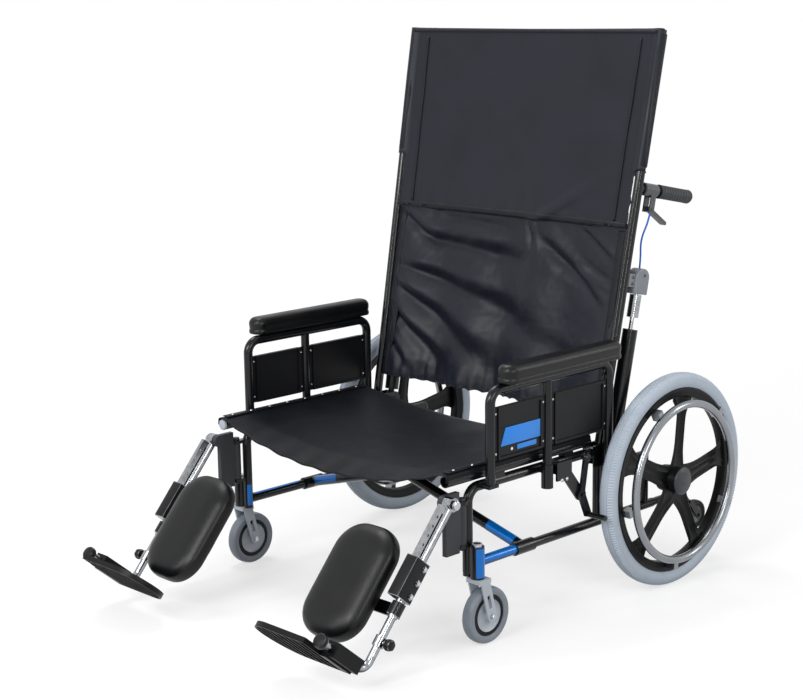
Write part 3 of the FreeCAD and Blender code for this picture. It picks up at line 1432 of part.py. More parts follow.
def seat_sling():
    """The seat cloth: flat where it is screwed to the rails, sagging between them, lowest at its front."""
    top = size("seat_rail_height") + size("seat_rail_od") / 2 + size("seating_gap")
    half = size("frame_half_width")
    edge = half + size("seat_flap")
    bent = half - size("seat_bend_inset")
    lift = Vector(0, 0, size("seat_cloth"))
    front = size("axle_place") - size("seat_front_ahead")
    rear = size("axle_place") - size("seat_rail_rear_ahead")
    stations = (
        (front, size("seat_front_sag")),
        (front + size("seat_front_dip"), size("seat_mid_sag")),
        ((front + rear) / 2, size("seat_mid_sag")),
        (rear, size("seat_rear_sag")),
    )
    outlines = []
    for place, sag in stations:
        low = [Vector(x, place, z) for x, z in ((-bent, top), (0, top - sag), (bent, top))]
        high = [point + lift for point in low]
        corners = [Vector(edge, place, top), Vector(edge, place, top) + lift,
                   Vector(-edge, place, top) + lift, Vector(-edge, place, top)]
        outlines.append(Part.Wire([
            Part.Arc(*low).toShape(),
            Part.LineSegment(low[-1], corners[0]).toShape(),
            Part.LineSegment(corners[0], corners[1]).toShape(),
            Part.LineSegment(corners[1], high[-1]).toShape(),
            Part.Arc(*reversed(high)).toShape(),
            Part.LineSegment(high[0], corners[2]).toShape(),
            Part.LineSegment(corners[2], corners[3]).toShape(),
            Part.LineSegment(corners[3], low[0]).toShape(),
        ]))
    return drawn("seat", Part.makeLoft(outlines, True, True))


def back_turned(thing):
    """Place a back piece that was drawn upright at the foot of the canes."""
    lean = Rotation(X_AXIS, -size("cane_lean"))
    thing.Placement = FreeCAD.Placement(Vector(0, size("cane_place"), size("cane_foot_height")), lean)
    return thing


def back_half_width(along):
    """Half of the clear width between the canes at a height along them."""
    splay = math.tan(math.radians(size("cane_splay")))
    return size("frame_half_width") + along * splay - size("cane_od") / 2 - size("seating_gap")


def back_strip(along, sag, fold, count, offset):
    """Points across the back: a sagging line broken into folds that swell to and fro."""
    half = back_half_width(along)
    steps = 2 * count
    points = []
    for step in range(steps + 1):
        share = 2.0 * step / steps - 1
        swell = fold * (1 if (step // 2) % 2 else -1) if step % 2 else 0.0
        points.append(Vector(half * share, offset + sag * (1 - share * share) + swell, along))
    return points


def back_lower():
    """The lower back cloth, whose folds deepen towards its gathered hem."""
    thickness = Vector(0, size("back_cloth"), 0)
    low = size("back_hem_along")
    high = size("back_lower_top")
    count = int(size("back_fold_count"))
    stations = (
        (low, size("back_sag"), size("back_fold_depth")),
        (low + (high - low) * 0.55, size("back_sag"), size("back_fold_depth") * 0.6),
        (high, size("back_seam_sag"), size("back_seam_fold")),
    )
    outlines = [
        cloth_outline(back_strip(along, sag, fold, count, 0), thickness) for along, sag, fold in stations
    ]
    return back_turned(drawn("back", Part.makeLoft(outlines, True, True)))


def back_upper():
    """The upper back cloth: a smooth panel with sleeves that slip over both canes."""
    thickness = Vector(0, size("back_cloth"), 0)
    offset = -size("back_cloth") - size("back_seam_fold") - size("back_overlap_gap")
    low = size("back_upper_hem")
    high = size("cane_length") + size("back_top_rise")
    outlines = [
        cloth_outline(back_strip(along, sag, size("back_upper_swell"), 1, offset), thickness)
        for along, sag in ((low, size("back_seam_sag")), (high, size("back_top_sag")))
    ]
    panel = Part.makeLoft(outlines, True, True)
    start = size("back_sleeve_along")
    room = size("cane_od") / 2 + size("seating_gap")
    sleeves = []
    rooms = []
    for sign in (1, -1):
        foot = Vector(sign * size("frame_half_width"), 0, 0)
        up = Rotation(X_AXIS, size("cane_lean")).multVec(cane_direction())
        up.x *= sign
        sleeves.append(Part.makeCylinder(room + size("back_sleeve_thickness"), high - start,
                                         foot + up * start, up))
        rooms.append(Part.makeCylinder(room, 2 * high, foot, up))
    return back_turned(drawn("back", panel.fuse(sleeves).cut(rooms)))


pair("armrest_pad", armrest_pad())
pair("calf_pad", calf_pad())
node("seat_sling", seat_sling())
node("back_lower", back_lower())
node("back_upper", back_upper())


doc.recompute()
for thing in doc.Objects:
    if "Invalid" in thing.State or "Error" in thing.State:
        raise RuntimeError(f"{thing.Label} did not build: {thing.State}")
for thing in NODES:
    shape = thing.Shape
    if shape.isNull() or not shape.isValid():
        raise RuntimeError(f"{thing.Label} has no valid shape")
os.makedirs("parts", exist_ok=True)
for thing in NODES:
    thing.Shape.exportStep(f"parts/{thing.Label}.step")
    print(f"{thing.Label}: {len(thing.Shape.Solids)} solid(s), {thing.Shape.Volume / 1000:.1f} cm3")
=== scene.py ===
# %% [markdown]
# A reclining wheelchair is dressed here.  The measured solids arrive first and stay where they are:
# tubes, wheels and brackets keep their shapes, and we give them finishes.  Cloth, pads, cables, tyres
# and small fittings are modelled on top, in metres, in the same frame as the solids.

# %% Load the solids
import math
import bmesh
import bpy
from mathutils import Matrix, Vector, noise
from mathutils.bvhtree import BVHTree


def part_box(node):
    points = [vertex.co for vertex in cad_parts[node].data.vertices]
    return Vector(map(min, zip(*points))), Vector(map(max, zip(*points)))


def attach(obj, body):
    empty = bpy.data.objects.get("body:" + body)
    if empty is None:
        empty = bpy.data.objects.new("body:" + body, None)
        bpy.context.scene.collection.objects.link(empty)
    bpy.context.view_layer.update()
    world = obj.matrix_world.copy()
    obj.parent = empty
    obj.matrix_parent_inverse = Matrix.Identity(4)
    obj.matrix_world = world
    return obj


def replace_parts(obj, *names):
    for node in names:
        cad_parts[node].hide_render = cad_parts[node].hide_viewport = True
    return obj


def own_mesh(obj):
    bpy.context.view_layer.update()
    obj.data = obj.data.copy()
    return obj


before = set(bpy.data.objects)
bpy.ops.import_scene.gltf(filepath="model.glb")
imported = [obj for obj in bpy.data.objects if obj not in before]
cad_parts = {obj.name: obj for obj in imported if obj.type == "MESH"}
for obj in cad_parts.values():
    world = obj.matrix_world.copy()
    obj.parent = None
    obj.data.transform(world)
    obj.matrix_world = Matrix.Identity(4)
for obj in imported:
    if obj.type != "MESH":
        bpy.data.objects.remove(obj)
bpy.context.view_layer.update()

MM = 0.001
SIDES = (("left", 1), ("right", -1))


def new_object(name, data):
    """An object of this mesh, curve, lamp or lens, put in the scene."""
    made = bpy.data.objects.new(name, data)
    bpy.context.scene.collection.objects.link(made)
    return made


def span(node):
    """A node's lowest corner, its highest corner and its middle."""
    low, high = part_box(node)
    return low, high, (low + high) / 2

# %% [markdown]
# The camera stands in front of the chair and to its left, at chest height, with a long lens.  A lens is
# a focal length over a sensor width, so a focal length in pixels turns straight into millimetres on a
# 36 mm sensor.  The small roll is put in with a rotation matrix.

# %% Camera
IMAGE_WIDTH = 803
FOCAL_PIXELS = 1715.66
SENSOR_MM = 36
CAMERA_PLACE = (2.7974, -2.7510, 1.3741)
CAMERA_LOOK = Vector((-0.70115, 0.68397, -0.20144))
CAMERA_ROLL = math.radians(-0.85)
UP = Vector((0, 0, 1))

lens = bpy.data.cameras.new("studio_lens")
lens.lens = SENSOR_MM * FOCAL_PIXELS / IMAGE_WIDTH
lens.sensor_width = SENSOR_MM
camera = new_object("studio_camera", lens)
look = CAMERA_LOOK.normalized()
across = look.cross(UP).normalized()
upward = across.cross(look)
roll = Matrix.Rotation(CAMERA_ROLL, 4, -look)
turn = Matrix((across, upward, -look)).transposed().to_4x4()
camera.matrix_world = Matrix.Translation(CAMERA_PLACE) @ roll @ turn
bpy.context.scene.camera = camera
print("lens", round(lens.lens, 1), "mm")

# %% [markdown]
# A few small tools serve every finish.  Paint charts give colours as sRGB hex, while Blender's shaders
# mix light in linear values, so one function converts.  Another adds a node: its settings, then a value
# or a link for each socket it names.

# %% Colour and node tools
def linear(colour):
    """An sRGB hex colour such as "1e86e0" as linear red, green, blue and alpha."""
    channels = [int(colour[place:place + 2], 16) / 255 for place in (0, 2, 4)]
    return [c / 12.92 if c <= 0.04045 else ((c + 0.055) / 1.055) ** 2.4 for c in channels] + [1]


def add(tree, kind, sockets, **settings):
    """A new shader node with these settings; a socket takes a value, or another node's output to link."""
    made = tree.nodes.new("ShaderNode" + kind)
    for name, value in settings.items():
        setattr(made, name, value)
    for key, value in sockets.items():
        if isinstance(value, bpy.types.NodeSocket):
            tree.links.new(value, made.inputs[key])
        else:
            made.inputs[key].default_value = value
    return made


def per(size_mm):
    """A texture scale whose features are about this many millimetres across."""
    return 1000 / size_mm


def empty_tree(owner):
    """The node tree of a material or a world, cleared."""
    owner.use_nodes = True
    owner.node_tree.nodes.clear()
    return owner.node_tree

# %% [markdown]
# The studio is a white floor that runs past the edge of the picture, soft boxes, strip lamps and an even
# sky.  The floor is a grey that takes the shadow, with a glow of its own that only camera and mirror rays
# can see, so it photographs as white paper while the chair is lit at a plain level.

# %% Floor, sky and lamps
WHITE = (1, 1, 1, 1)
FLOOR_REACH = 60
# The glow's strength near the chair and far from it, and those two distances in metres.
GLOW = (0.62, 0.84)
GLOW_REACH = (0.6, 5.0)
SKY_LIGHT = 0.42
LAMP_AIM = Vector((0, 0, 0.6))


def seen_directly(tree):
    """1 for rays from the camera, from a gloss or through glass, and 0 for light that bounces about."""
    path = add(tree, "LightPath", {})
    mirror = add(tree, "Math", {0: path.outputs["Is Glossy Ray"], 1: path.outputs["Is Transmission Ray"]},
                 operation="MAXIMUM")
    return add(tree, "Math", {0: mirror.outputs[0], 1: path.outputs["Is Camera Ray"]},
               operation="MAXIMUM").outputs[0]


paper = bpy.data.materials.new("studio_paper")
tree = empty_tree(paper)
matt = add(tree, "BsdfDiffuse", {"Color": linear("a8a8a8")})
spot = add(tree, "TexCoord", {})
apart = add(tree, "VectorMath", {0: spot.outputs["Object"]}, operation="LENGTH")
further = add(tree, "MapRange", {"Value": apart.outputs["Value"], "From Min": GLOW_REACH[0],
                                 "From Max": GLOW_REACH[1], "To Min": GLOW[0], "To Max": GLOW[1]})
glow = add(tree, "Emission", {"Color": WHITE, "Strength": further.outputs[0]})
nothing = add(tree, "Emission", {"Strength": 0.0})
shown = add(tree, "MixShader", {0: seen_directly(tree), 1: nothing.outputs[0], 2: glow.outputs[0]})
both = add(tree, "AddShader", {0: matt.outputs[0], 1: shown.outputs[0]})
add(tree, "OutputMaterial", {"Surface": both.outputs[0]})

shape = bmesh.new()
bmesh.ops.create_grid(shape, x_segments=1, y_segments=1, size=FLOOR_REACH)
floor_mesh = bpy.data.meshes.new("studio_floor")
shape.to_mesh(floor_mesh)
shape.free()
floor_mesh.materials.append(paper)
floor = new_object("studio_floor", floor_mesh)

world = bpy.data.worlds.new("studio_sky")
bpy.context.scene.world = world
tree = empty_tree(world)
even = add(tree, "Background", {"Color": WHITE, "Strength": SKY_LIGHT})
white = add(tree, "Background", {"Color": WHITE, "Strength": 1.0})
sky = add(tree, "MixShader", {0: seen_directly(tree), 1: even.outputs[0], 2: white.outputs[0]})
add(tree, "OutputWorld", {"Surface": sky.outputs[0]})

# Name, place, width and height in metres, and watts.  The strips give tubes their thin bright lines.
LAMPS = (
    ("key_box", (0.6, -3.4, 2.6), 1.6, 1.6, 92), ("fill_box", (3.8, -0.4, 2.0), 1.2, 1.2, 30),
    ("top_box", (-1.4, 0.2, 3.8), 1.5, 1.5, 50), ("front_strip", (-0.9, -3.0, 1.6), 0.12, 1.6, 20),
    ("side_strip", (3.2, -1.6, 1.5), 0.10, 1.6, 16), ("back_strip", (2.4, 2.4, 1.8), 0.3, 1.6, 18),
)
for name, place, width, height, watts in LAMPS:
    lamp = bpy.data.lights.new(name, "AREA")
    lamp.shape = "RECTANGLE"
    lamp.size = width
    lamp.size_y = height
    lamp.energy = watts
    stand = new_object(name, lamp)
    stand.location = place
    stand.rotation_euler = (LAMP_AIM - Vector(place)).to_track_quat("-Z", "Y").to_euler()
bpy.context.scene.view_settings.view_transform = "Standard"
print("studio ready")

# %% [markdown]
# Almost every finish on a chair like this is two things at once: a colour that drifts a little from
# place to place, and a relief too fine to model.  One function builds that pair, with the drift also
# nudging the roughness, because a surface is never evenly polished.  A finish with its own pattern
# (grain, weave, brushing) hands over the function that draws it.

# %% A finish
# How far the drift moves, the shares of the roughness at its two ends, and the bump's strength.
DRIFT = (0.3, 0.7)
POLISH = (0.85, 1.15)
BUMP_STRENGTH = 0.7
# Painted shade: a face darkens from the first of these heights of its normal to the second.
FACING_DOWN = (0.05, -0.6)


def finish(name, colour, other, rough, shine=0.5, grain=1.2, depth=0.02, patch=60, relief=None, under=None,
           **shader):
    """A material between two tones, with patches, grain and relief depth in millimetres.

    A colour for the underside paints shade: faces that look down darken, as a mirror does over a dark floor.
    """
    made = bpy.data.materials.new(name)
    tree = empty_tree(made)
    place = add(tree, "TexCoord", {})
    drift = add(tree, "TexNoise", {"Vector": place.outputs["Object"], "Scale": per(patch), "Detail": 5.0})
    tone = add(tree, "Mix", {0: drift.outputs["Fac"], 6: linear(colour), 7: linear(other)},
               data_type="RGBA")
    if under:
        facing = add(tree, "SeparateXYZ", {0: add(tree, "NewGeometry", {}).outputs["Normal"]})
        below = add(tree, "MapRange", {"Value": facing.outputs[2], "From Min": FACING_DOWN[0],
                                       "From Max": FACING_DOWN[1]})
        tone = add(tree, "Mix", {0: below.outputs[0], 6: tone.outputs[2], 7: linear(under)},
                   data_type="RGBA")
    polish = add(tree, "MapRange", {"Value": drift.outputs["Fac"], "From Min": DRIFT[0], "From Max": DRIFT[1],
                                    "To Min": rough * POLISH[0], "To Max": rough * POLISH[1]})
    if relief:
        height = relief(tree, place)
    else:
        height = add(tree, "TexNoise", {"Vector": place.outputs["Object"], "Scale": per(grain),
                                        "Detail": 3.0}).outputs["Fac"]
    bump = add(tree, "Bump", {"Height": height, "Distance": depth * MM, "Strength": BUMP_STRENGTH})
    skin = add(tree, "BsdfPrincipled", {"Base Color": tone.outputs[2], "Roughness": polish.outputs[0],
                                        "Specular IOR Level": shine, "Normal": bump.outputs[0]})
    for socket, value in shader.items():
        skin.inputs[socket.replace("_", " ").title()].default_value = value
    add(tree, "OutputMaterial", {"Surface": skin.outputs[0]})
    return made

# %% [markdown]
# The frame is steel tube with a gloss black powder coat: the powder melts into a thick skin with a faint
# orange peel of about 2 mm, and it mirrors lamps as thin bright lines.  A few tubes are lacquered in a
# candy blue, a clear tint over bright metal, so it gets some metallic.

# %% Paints
# Powder coat: dark and glossy, with orange peel.
powder_coat = finish("gloss_black_powder_coat", "08090b", "111317", 0.2, grain=2.0, depth=0.03, shine=0.3)
# The canes are polished harder, so a lamp leaves one bright line down each.
cane_coat = finish("polished_black_powder_coat", "060708", "0b0c0f", 0.08, grain=3.0, depth=0.012, shine=0.38)
# Candy lacquer: saturated, with painted shade that turns it near black on the faces that look down.
candy_blue = finish("candy_blue_lacquer", "0062b4", "0478d2", 0.26, grain=2.0, depth=0.02, under="03111f",
                    metallic=0.2, shine=0.2, coat_weight=0.25, coat_roughness=0.08)

# %% [markdown]
# Bright metal comes three ways here.  Chrome plate on the leg tubes mirrors the room; its light and dark
# patches are painted reflection in its colour, with painted shade underneath.  The handrim is stainless tube
# polished round its length, which leaves streaks that follow the ring, so the relief is drawn from the
# distance to the axle.  Screws are zinc plated.

# %% Bright metals
WHEEL_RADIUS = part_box("left_rear_tyre")[1].z / 2
AXLE_Y = sum(corner.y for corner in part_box("left_rear_tyre")) / 2
STREAK_MM = 3


def ring_streaks(tree, place):
    """Fine lines round the rear axle, as far apart as the picture needs to show them."""
    centred = add(tree, "Mapping", {"Vector": place.outputs["Object"],
                                    "Location": (0, -AXLE_Y, -WHEEL_RADIUS)})
    apart = add(tree, "SeparateXYZ", {0: centred.outputs[0]})
    flat = add(tree, "CombineXYZ", {1: apart.outputs[1], 2: apart.outputs[2]})
    radius = add(tree, "VectorMath", {0: flat.outputs[0]}, operation="LENGTH")
    return add(tree, "TexNoise", {"W": radius.outputs["Value"], "Scale": per(STREAK_MM), "Detail": 4.0},
               noise_dimensions="1D").outputs["Fac"]


# Chrome: painted reflection as bright and dark patches, as a curved mirror shows, and painted shade
# underneath.
chrome = finish("chrome_plated_steel", "c4c6c9", "6a6d71", 0.13, grain=5, depth=0.006, patch=11,
                under="2c2e31", metallic=1.0)
# Stainless tube: softer, streaked reflections.
stainless = finish("polished_stainless_tube", "93969a", "7c7f83", 0.24, depth=0.012, relief=ring_streaks,
                   metallic=1.0)
# Zinc plate on screws and bolts: a dull silver.
zinc = finish("zinc_plated_steel", "c2c5c9", "a9adb2", 0.3, grain=0.8, depth=0.02, patch=8, metallic=1.0)

# %% [markdown]
# Castings and mouldings differ by their skin.  Sand-cast and painted parts are pebbly, glass-filled nylon
# wheels have a fine spark-eroded grain, and thin covers in ABS are smoother.  The same recipe serves,
# with the grain size and its depth telling them apart.

# %% Castings and mouldings
# Painted casting on the legrest hangers: dark, pebbly, half matt.
dark_cast = finish("painted_grey_casting", "26282b", "36393d", 0.42, grain=2.4, depth=0.12, patch=30,
                   shine=0.3)
# Light grey casting of the caster forks.
pale_cast = finish("light_grey_casting", "a6adb6", "b8bfc8", 0.38, grain=2.2, depth=0.08, patch=25)
# Dark grey die casting of the release levers and their clamps.
lever_cast = finish("grey_lever_casting", "3a3c3f", "4a4c50", 0.36, grain=1.6, depth=0.05, patch=20)
# Glass-filled nylon: a black that greys slightly in the light.
black_nylon = finish("glass_filled_nylon", "060708", "0c0d0f", 0.4, grain=1.4, depth=0.06, shine=0.16)
# Black ABS: an even leather-like grain.
black_abs = finish("grained_black_abs", "08090b", "0e0f12", 0.44, grain=1.0, depth=0.05, shine=0.22)
# Grey ABS of the recline heads and the rollers' hubs.
grey_abs = finish("moulded_grey_abs", "6d7279", "858a91", 0.42, grain=1.0, depth=0.04)
# Dark grey ABS of the hub caps, with a satin face.
cap_grey = finish("satin_grey_cap", "303236", "3c3e43", 0.36, grain=1.0, depth=0.03, shine=0.35)

# %% [markdown]
# The tyres are non-marking grey rubber, chalky and slightly blue.  The casters have a darker, denser
# polyurethane, and the grips a soft black rubber.  Rubber scatters light, so it stays rough.

# %% Rubbers
# Rear tyre: chalky blue-grey, with darker scuffs in broad patches.
tyre_rubber = finish("grey_tyre_rubber", "a3afbd", "bac4cf", 0.62, grain=1.1, depth=0.08, patch=45)
# Caster tread: mid grey and smoother.
caster_rubber = finish("grey_polyurethane", "727983", "868d97", 0.45, grain=1.0, depth=0.04, patch=20)
# Grip: dark, and dull where hands have polished it least.
grip_rubber = finish("soft_grip_rubber", "1b1c1f", "2a2c2f", 0.58, grain=0.9, depth=0.08, patch=18)

# %% [markdown]
# The pads are covered in upholstery vinyl: a printed leather grain of little cells about 2 mm across
# under a soft shine.  Cell edges from a Voronoi texture give the valleys between the pebbles.

# %% Vinyl
PEBBLE_MM = 2.0


def leather_cells(tree, place):
    """Pebbles with soft valleys."""
    cells = add(tree, "TexVoronoi", {"Vector": place.outputs["Object"], "Scale": per(PEBBLE_MM)},
                feature="DISTANCE_TO_EDGE")
    return add(tree, "MapRange", {"Value": cells.outputs["Distance"], "From Max": 0.25},
               interpolation_type="SMOOTHSTEP").outputs[0]


vinyl = finish("black_upholstery_vinyl", "060708", "0b0c0e", 0.34, depth=0.05, relief=leather_cells,
               shine=0.26)

# %% [markdown]
# Seat and back are slings of coated nylon.  The coating gives a broad, slightly blue sheen.  The threads
# are far finer than a pixel, so the relief is only a soft grid of waves that breaks up the shine.  It
# follows each sling's own UV map, kept in metres, so it runs with the cloth and not through space.

# %% Sling cloth
# A wave texture turns by twenty radians in each unit of its scale.  A radian is 2.5 mm here, so a whole
# wave is about 16 mm long.
WAVE_RADIAN_MM = 2.5
RADIANS_PER_UNIT = 20
SHEEN = linear("6a7290")


def weave(tree, place):
    """Two crossing waves on the cloth's UV map, along the warp and the weft."""
    sockets = {"Vector": place.outputs["UV"], "Scale": per(WAVE_RADIAN_MM) / RADIANS_PER_UNIT,
               "Distortion": 0.3, "Detail": 1.0}
    threads = [add(tree, "TexWave", sockets, bands_direction=axis).outputs["Fac"] for axis in ("X", "Y")]
    return add(tree, "Math", {0: threads[0], 1: threads[1]}, operation="MULTIPLY").outputs[0]


sling_cloth = finish("coated_nylon_cloth", "0e1019", "161924", 0.46, depth=0.12, patch=140, relief=weave,
                     shine=0.24, sheen_weight=0.12, sheen_roughness=0.4, sheen_tint=SHEEN)
# The seat takes the same cloth painted darker, as painted shade on its upward face, and with less shine.
shaded_seat_cloth = finish("shade_darkened_seat_cloth", "08090d", "0e0f15", 0.48, depth=0.12, patch=120, relief=weave,
                     shine=0.13, sheen_weight=0.05, sheen_roughness=0.4, sheen_tint=SHEEN)
# Binding tape and hems: the same cloth painted a shade darker, as painted shade in its folds, and rougher.
hem_cloth = finish("folded_nylon_hem", "0c0d12", "14161e", 0.55, depth=0.12, patch=30, relief=weave,
                   shine=0.2, sheen_weight=0.1, sheen_roughness=0.5, sheen_tint=linear("4a5068"))
# Sewing thread: bonded polyester, a slightly paler black so that the stitches read.
thread = finish("bonded_black_thread", "16181e", "22242c", 0.5, grain=0.6, depth=0.05, patch=10)
# Label films and the cable jacket: plain and glossy.
label_blue = finish("plain_blue_label_film", "0f7be0", "2a8ce8", 0.3, grain=3, depth=0.01, patch=80)
cable_blue = finish("blue_cable_jacket", "0f56b8", "1c6cd2", 0.35, grain=1.0, depth=0.03, patch=12)
dot_white = finish("white_label_film", "e6e8ea", "f2f3f4", 0.4, grain=3, depth=0.01)
print("finishes:", len(bpy.data.materials))

# %% [markdown]
# Now each solid that keeps its shape is given its finish.  A node is one moulding, casting or weldment,
# so one finish is right for nearly all of them, and the exceptions get extra pieces later.

# %% Dress the solids
DRESS = (
    (powder_coat, "side_frame wheel_lock_lever anti_tipper armrest_frame recline_tube calf_bracket"),
    (powder_coat, "cross_brace_a cross_brace_b"), (cane_coat, "back_cane"),
    (zinc, "rear_axle cross_pivot_bolt"), (stainless, "handrim"), (black_abs, "armrest_panels"),
    (chrome, "recline_rod legrest_tube foot_tube"), (black_nylon, "rear_wheel anti_tip_wheel footplate"),
    (tyre_rubber, "rear_tyre"), (caster_rubber, "caster_wheel"), (grip_rubber, "push_grip"),
    (pale_cast, "caster_fork"), (dark_cast, "legrest_hanger"), (lever_cast, "lever_clamp recline_lever"),
    (grey_abs, "recline_head"), (cable_blue, "recline_cable"), (vinyl, "armrest_pad calf_pad"),
    (shaded_seat_cloth, "seat_sling"), (sling_cloth, "back_lower back_upper"),
)
NODE_FINISH = {name: skin for skin, names in DRESS for name in names.split()}
for name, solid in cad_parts.items():
    solid.data.materials.clear()
    solid.data.materials.append(NODE_FINISH[name.removeprefix("left_").removeprefix("right_")])
print("dressed", len(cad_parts), "solids")

# %% [markdown]
# A few helpers serve every new piece.  One turns a bmesh into a finished object: normals outward, smooth
# faces with creases kept sharp, its finish and the body it moves with.  Another is a
# lathe: it draws a profile of (radius, distance along the axis) points and spins it all the way round.

# %% Workshop helpers
def keep(name, shape, body, slot, *finishes, crease=40):
    """The bmesh as a piece that rides on a body, with its finishes."""
    bmesh.ops.recalc_face_normals(shape, faces=shape.faces)
    mesh = bpy.data.meshes.new(name)
    shape.to_mesh(mesh)
    shape.free()
    for each in finishes:
        mesh.materials.append(each)
    mesh.shade_smooth()
    mesh.set_sharp_from_angle(angle=math.radians(crease))
    piece = new_object(name, mesh)
    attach(piece, body)
    return piece


def turned(shape, profile, centre, axis, steps):
    """Spin (radius, along) points, in millimetres, about an axis through the centre; gives the new faces."""
    centre = Vector(centre)
    axis = Vector(axis).normalized()
    outward = axis.orthogonal().normalized()
    before = set(shape.faces)
    points = [shape.verts.new(centre + axis * along * MM + outward * radius * MM)
              for radius, along in profile]
    edges = [shape.edges.new(pair) for pair in zip(points, points[1:])]
    bmesh.ops.spin(shape, geom=points + edges, cent=centre, axis=axis, dvec=(0, 0, 0), angle=math.tau,
                   steps=steps, use_merge=True)
    fresh = [face for face in shape.faces if face not in before]
    around = list(dict.fromkeys(vert for face in fresh for vert in face.verts))
    bmesh.ops.remove_doubles(shape, verts=around, dist=1e-6)
    return [face for face in shape.faces if face not in before]


def mirrored_profile(half):
    """A closed profile from its half on the far side of the wheel's middle."""
    whole = half + [(radius, -along) for radius, along in reversed(half) if along]
    return whole + whole[:1]


def lathe(name, profile, centre, axis, steps, body, slot, skin, crease=40):
    """A piece that is one profile spun about an axis."""
    shape = bmesh.new()
    turned(shape, profile, centre, axis, steps)
    return keep(name, shape, body, slot, skin, crease=crease)


def settle(shape, sign, foot, turn):
    """Turn a shape from the own frame of a cane or a leg into the chair's, mirrored for the right side."""
    mirror = Matrix.Diagonal((sign, 1, 1, 1))
    bmesh.ops.transform(shape, matrix=mirror @ Matrix.Translation(foot) @ turn.to_4x4(), verts=shape.verts)

# %% [markdown]
# The two blue release cables run from each hand lever down to the recline lock.  A cable is a NURBS
# curve: its control points pull the line towards them, so six points are enough for a smooth sweep.
# They are given in the cane's own leaning frame, behind it, along it and across it.

# %% Release cables
RAIL_X = 0.370
CABLE_RADIUS = 2.25
CANE_FOOT = Vector((RAIL_X, AXLE_Y - 0.174, 0.348))
CANE_TURN = Matrix.Rotation(math.radians(1.36), 3, "Y") @ Matrix.Rotation(math.radians(-11.2), 3, "X")
CABLE_ROUTE = ((47, 552.7, 8.8), (44, 528.7, 8.8), (35, 498.7, 5.8), (38, 475.3, 2.8), (48, 447.3, 0.8),
               (50, 423.3, 0.8))


def on_cane(sign, behind, along, across=0.0):
    """A point by a cane, from millimetres behind, along and across it."""
    place = CANE_FOOT + CANE_TURN @ (Vector((across, behind, along)) * MM)
    return Vector((sign * place.x, place.y, place.z))


for side, sign in SIDES:
    line = bpy.data.curves.new(f"{side}_release_cable", "CURVE")
    line.dimensions = "3D"
    line.bevel_depth = CABLE_RADIUS * MM
    line.bevel_resolution = 4
    line.use_fill_caps = True
    spline = line.splines.new("NURBS")
    spline.points.add(len(CABLE_ROUTE) - 1)
    for point, route in zip(spline.points, CABLE_ROUTE):
        point.co = (*on_cane(sign, *route), 1)
    spline.order_u = 3
    spline.use_endpoint_u = True
    spline.resolution_u = 12
    line.materials.append(cable_blue)
    cable = new_object(f"{side}_release_cable", line)
    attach(cable, f"{side}_back")
    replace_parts(cable, f"{side}_recline_cable")
print("cables laid")

# %% [markdown]
# A rear tyre is a solid rubber ring with two grooves round its tread and fine ribs on its shoulders.
# The ring is one lathe profile.  For the ribs there is no need of hundreds of little blocks: the spin
# leaves a ring of points every few millimetres, so the shoulder points of every other ring are pressed in.

# %% Rear tyres
TYRE_HALF = [(219, 12), (221, 16), (227, 19), (235, 20), (242, 19.2), (247, 17), (250.4, 13.5), (252.6, 9.6),
             (251.4, 9.0), (251.4, 7.8), (253.2, 7.0), (254, 2.2), (252.8, 1.4), (252.8, 0)]
RIB_ROW = (240, 251)
RIB_DEPTH = 1.5
RIB_LEAN = 0.8
STEPS_ROUND = 480

for side, sign in SIDES:
    hub = span(f"{side}_rear_tyre")[2]
    shape = bmesh.new()
    turned(shape, mirrored_profile(TYRE_HALF), hub, (1, 0, 0), STEPS_ROUND)
    for vert in shape.verts:
        spoke = Vector((0, vert.co.y - hub.y, vert.co.z - hub.z))
        step = round(math.degrees(math.atan2(spoke.z, spoke.y)) * STEPS_ROUND / 360)
        if step % 2 and RIB_ROW[0] * MM < spoke.length < RIB_ROW[1] * MM:
            lean = Vector((math.copysign(RIB_LEAN, vert.co.x - hub.x), 0, 0))
            vert.co -= (spoke.normalized() + lean) * RIB_DEPTH * MM
    tyre = keep(f"{side}_ribbed_tyre", shape, f"{side}_rear_wheel", "grey_tyre", tyre_rubber, crease=28)
    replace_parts(tyre, f"{side}_rear_tyre")
    print(tyre.name, len(tyre.data.polygons), "faces")

# %% [markdown]
# A caster wheel is one moulding with three colours in rings: a grey tread, a black ring that bonds it to
# the wheel, and a grey dished hub.  One lathe profile gives all of it, and each face then takes the
# finish of the ring it lies in.  The small anti-tip wheels are the same profile drawn smaller.  Each wheel
# is a body of its own, with the same name as its node.

# %% Caster and anti-tip wheels
WHEEL_HALF = [(4.4, 16.5), (9, 16.5), (10.2, 15.4), (11, 8), (14, 6.2), (31, 6.2), (35, 8.6), (36.4, 10.6),
              (44.5, 11), (45.6, 9.8), (46.8, 11.6), (52, 13.2), (57, 13.9), (60.4, 12.4), (62.5, 8.8),
              (63.4, 4), (63.5, 0)]
BOND_RING = (36.2, 46.0)
WHEEL_EDGE = 63.5
WHEEL_SIDE = 16.7
LEAST_BORE = 4.2


def small_wheel(name, node, slot, tread, hub_finish):
    """A wheel in place of a node, with its tread, bond ring and hub."""
    low, high, middle = span(node)
    size = (high.z - low.z) / 2 / (WHEEL_EDGE * MM)
    width = (high.x - low.x) / 2 / (WHEEL_SIDE * MM)
    shape = bmesh.new()
    half = [(max(LEAST_BORE, radius * size), along * width) for radius, along in WHEEL_HALF]
    for face in turned(shape, mirrored_profile(half), middle, (1, 0, 0), 72):
        offset = face.calc_center_median() - middle
        radius = math.hypot(offset.y, offset.z) / MM / size
        face.material_index = 0 if radius > BOND_RING[1] else 1 if radius > BOND_RING[0] else 2
    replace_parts(keep(name, shape, node, slot, tread, black_nylon, hub_finish, crease=32), node)


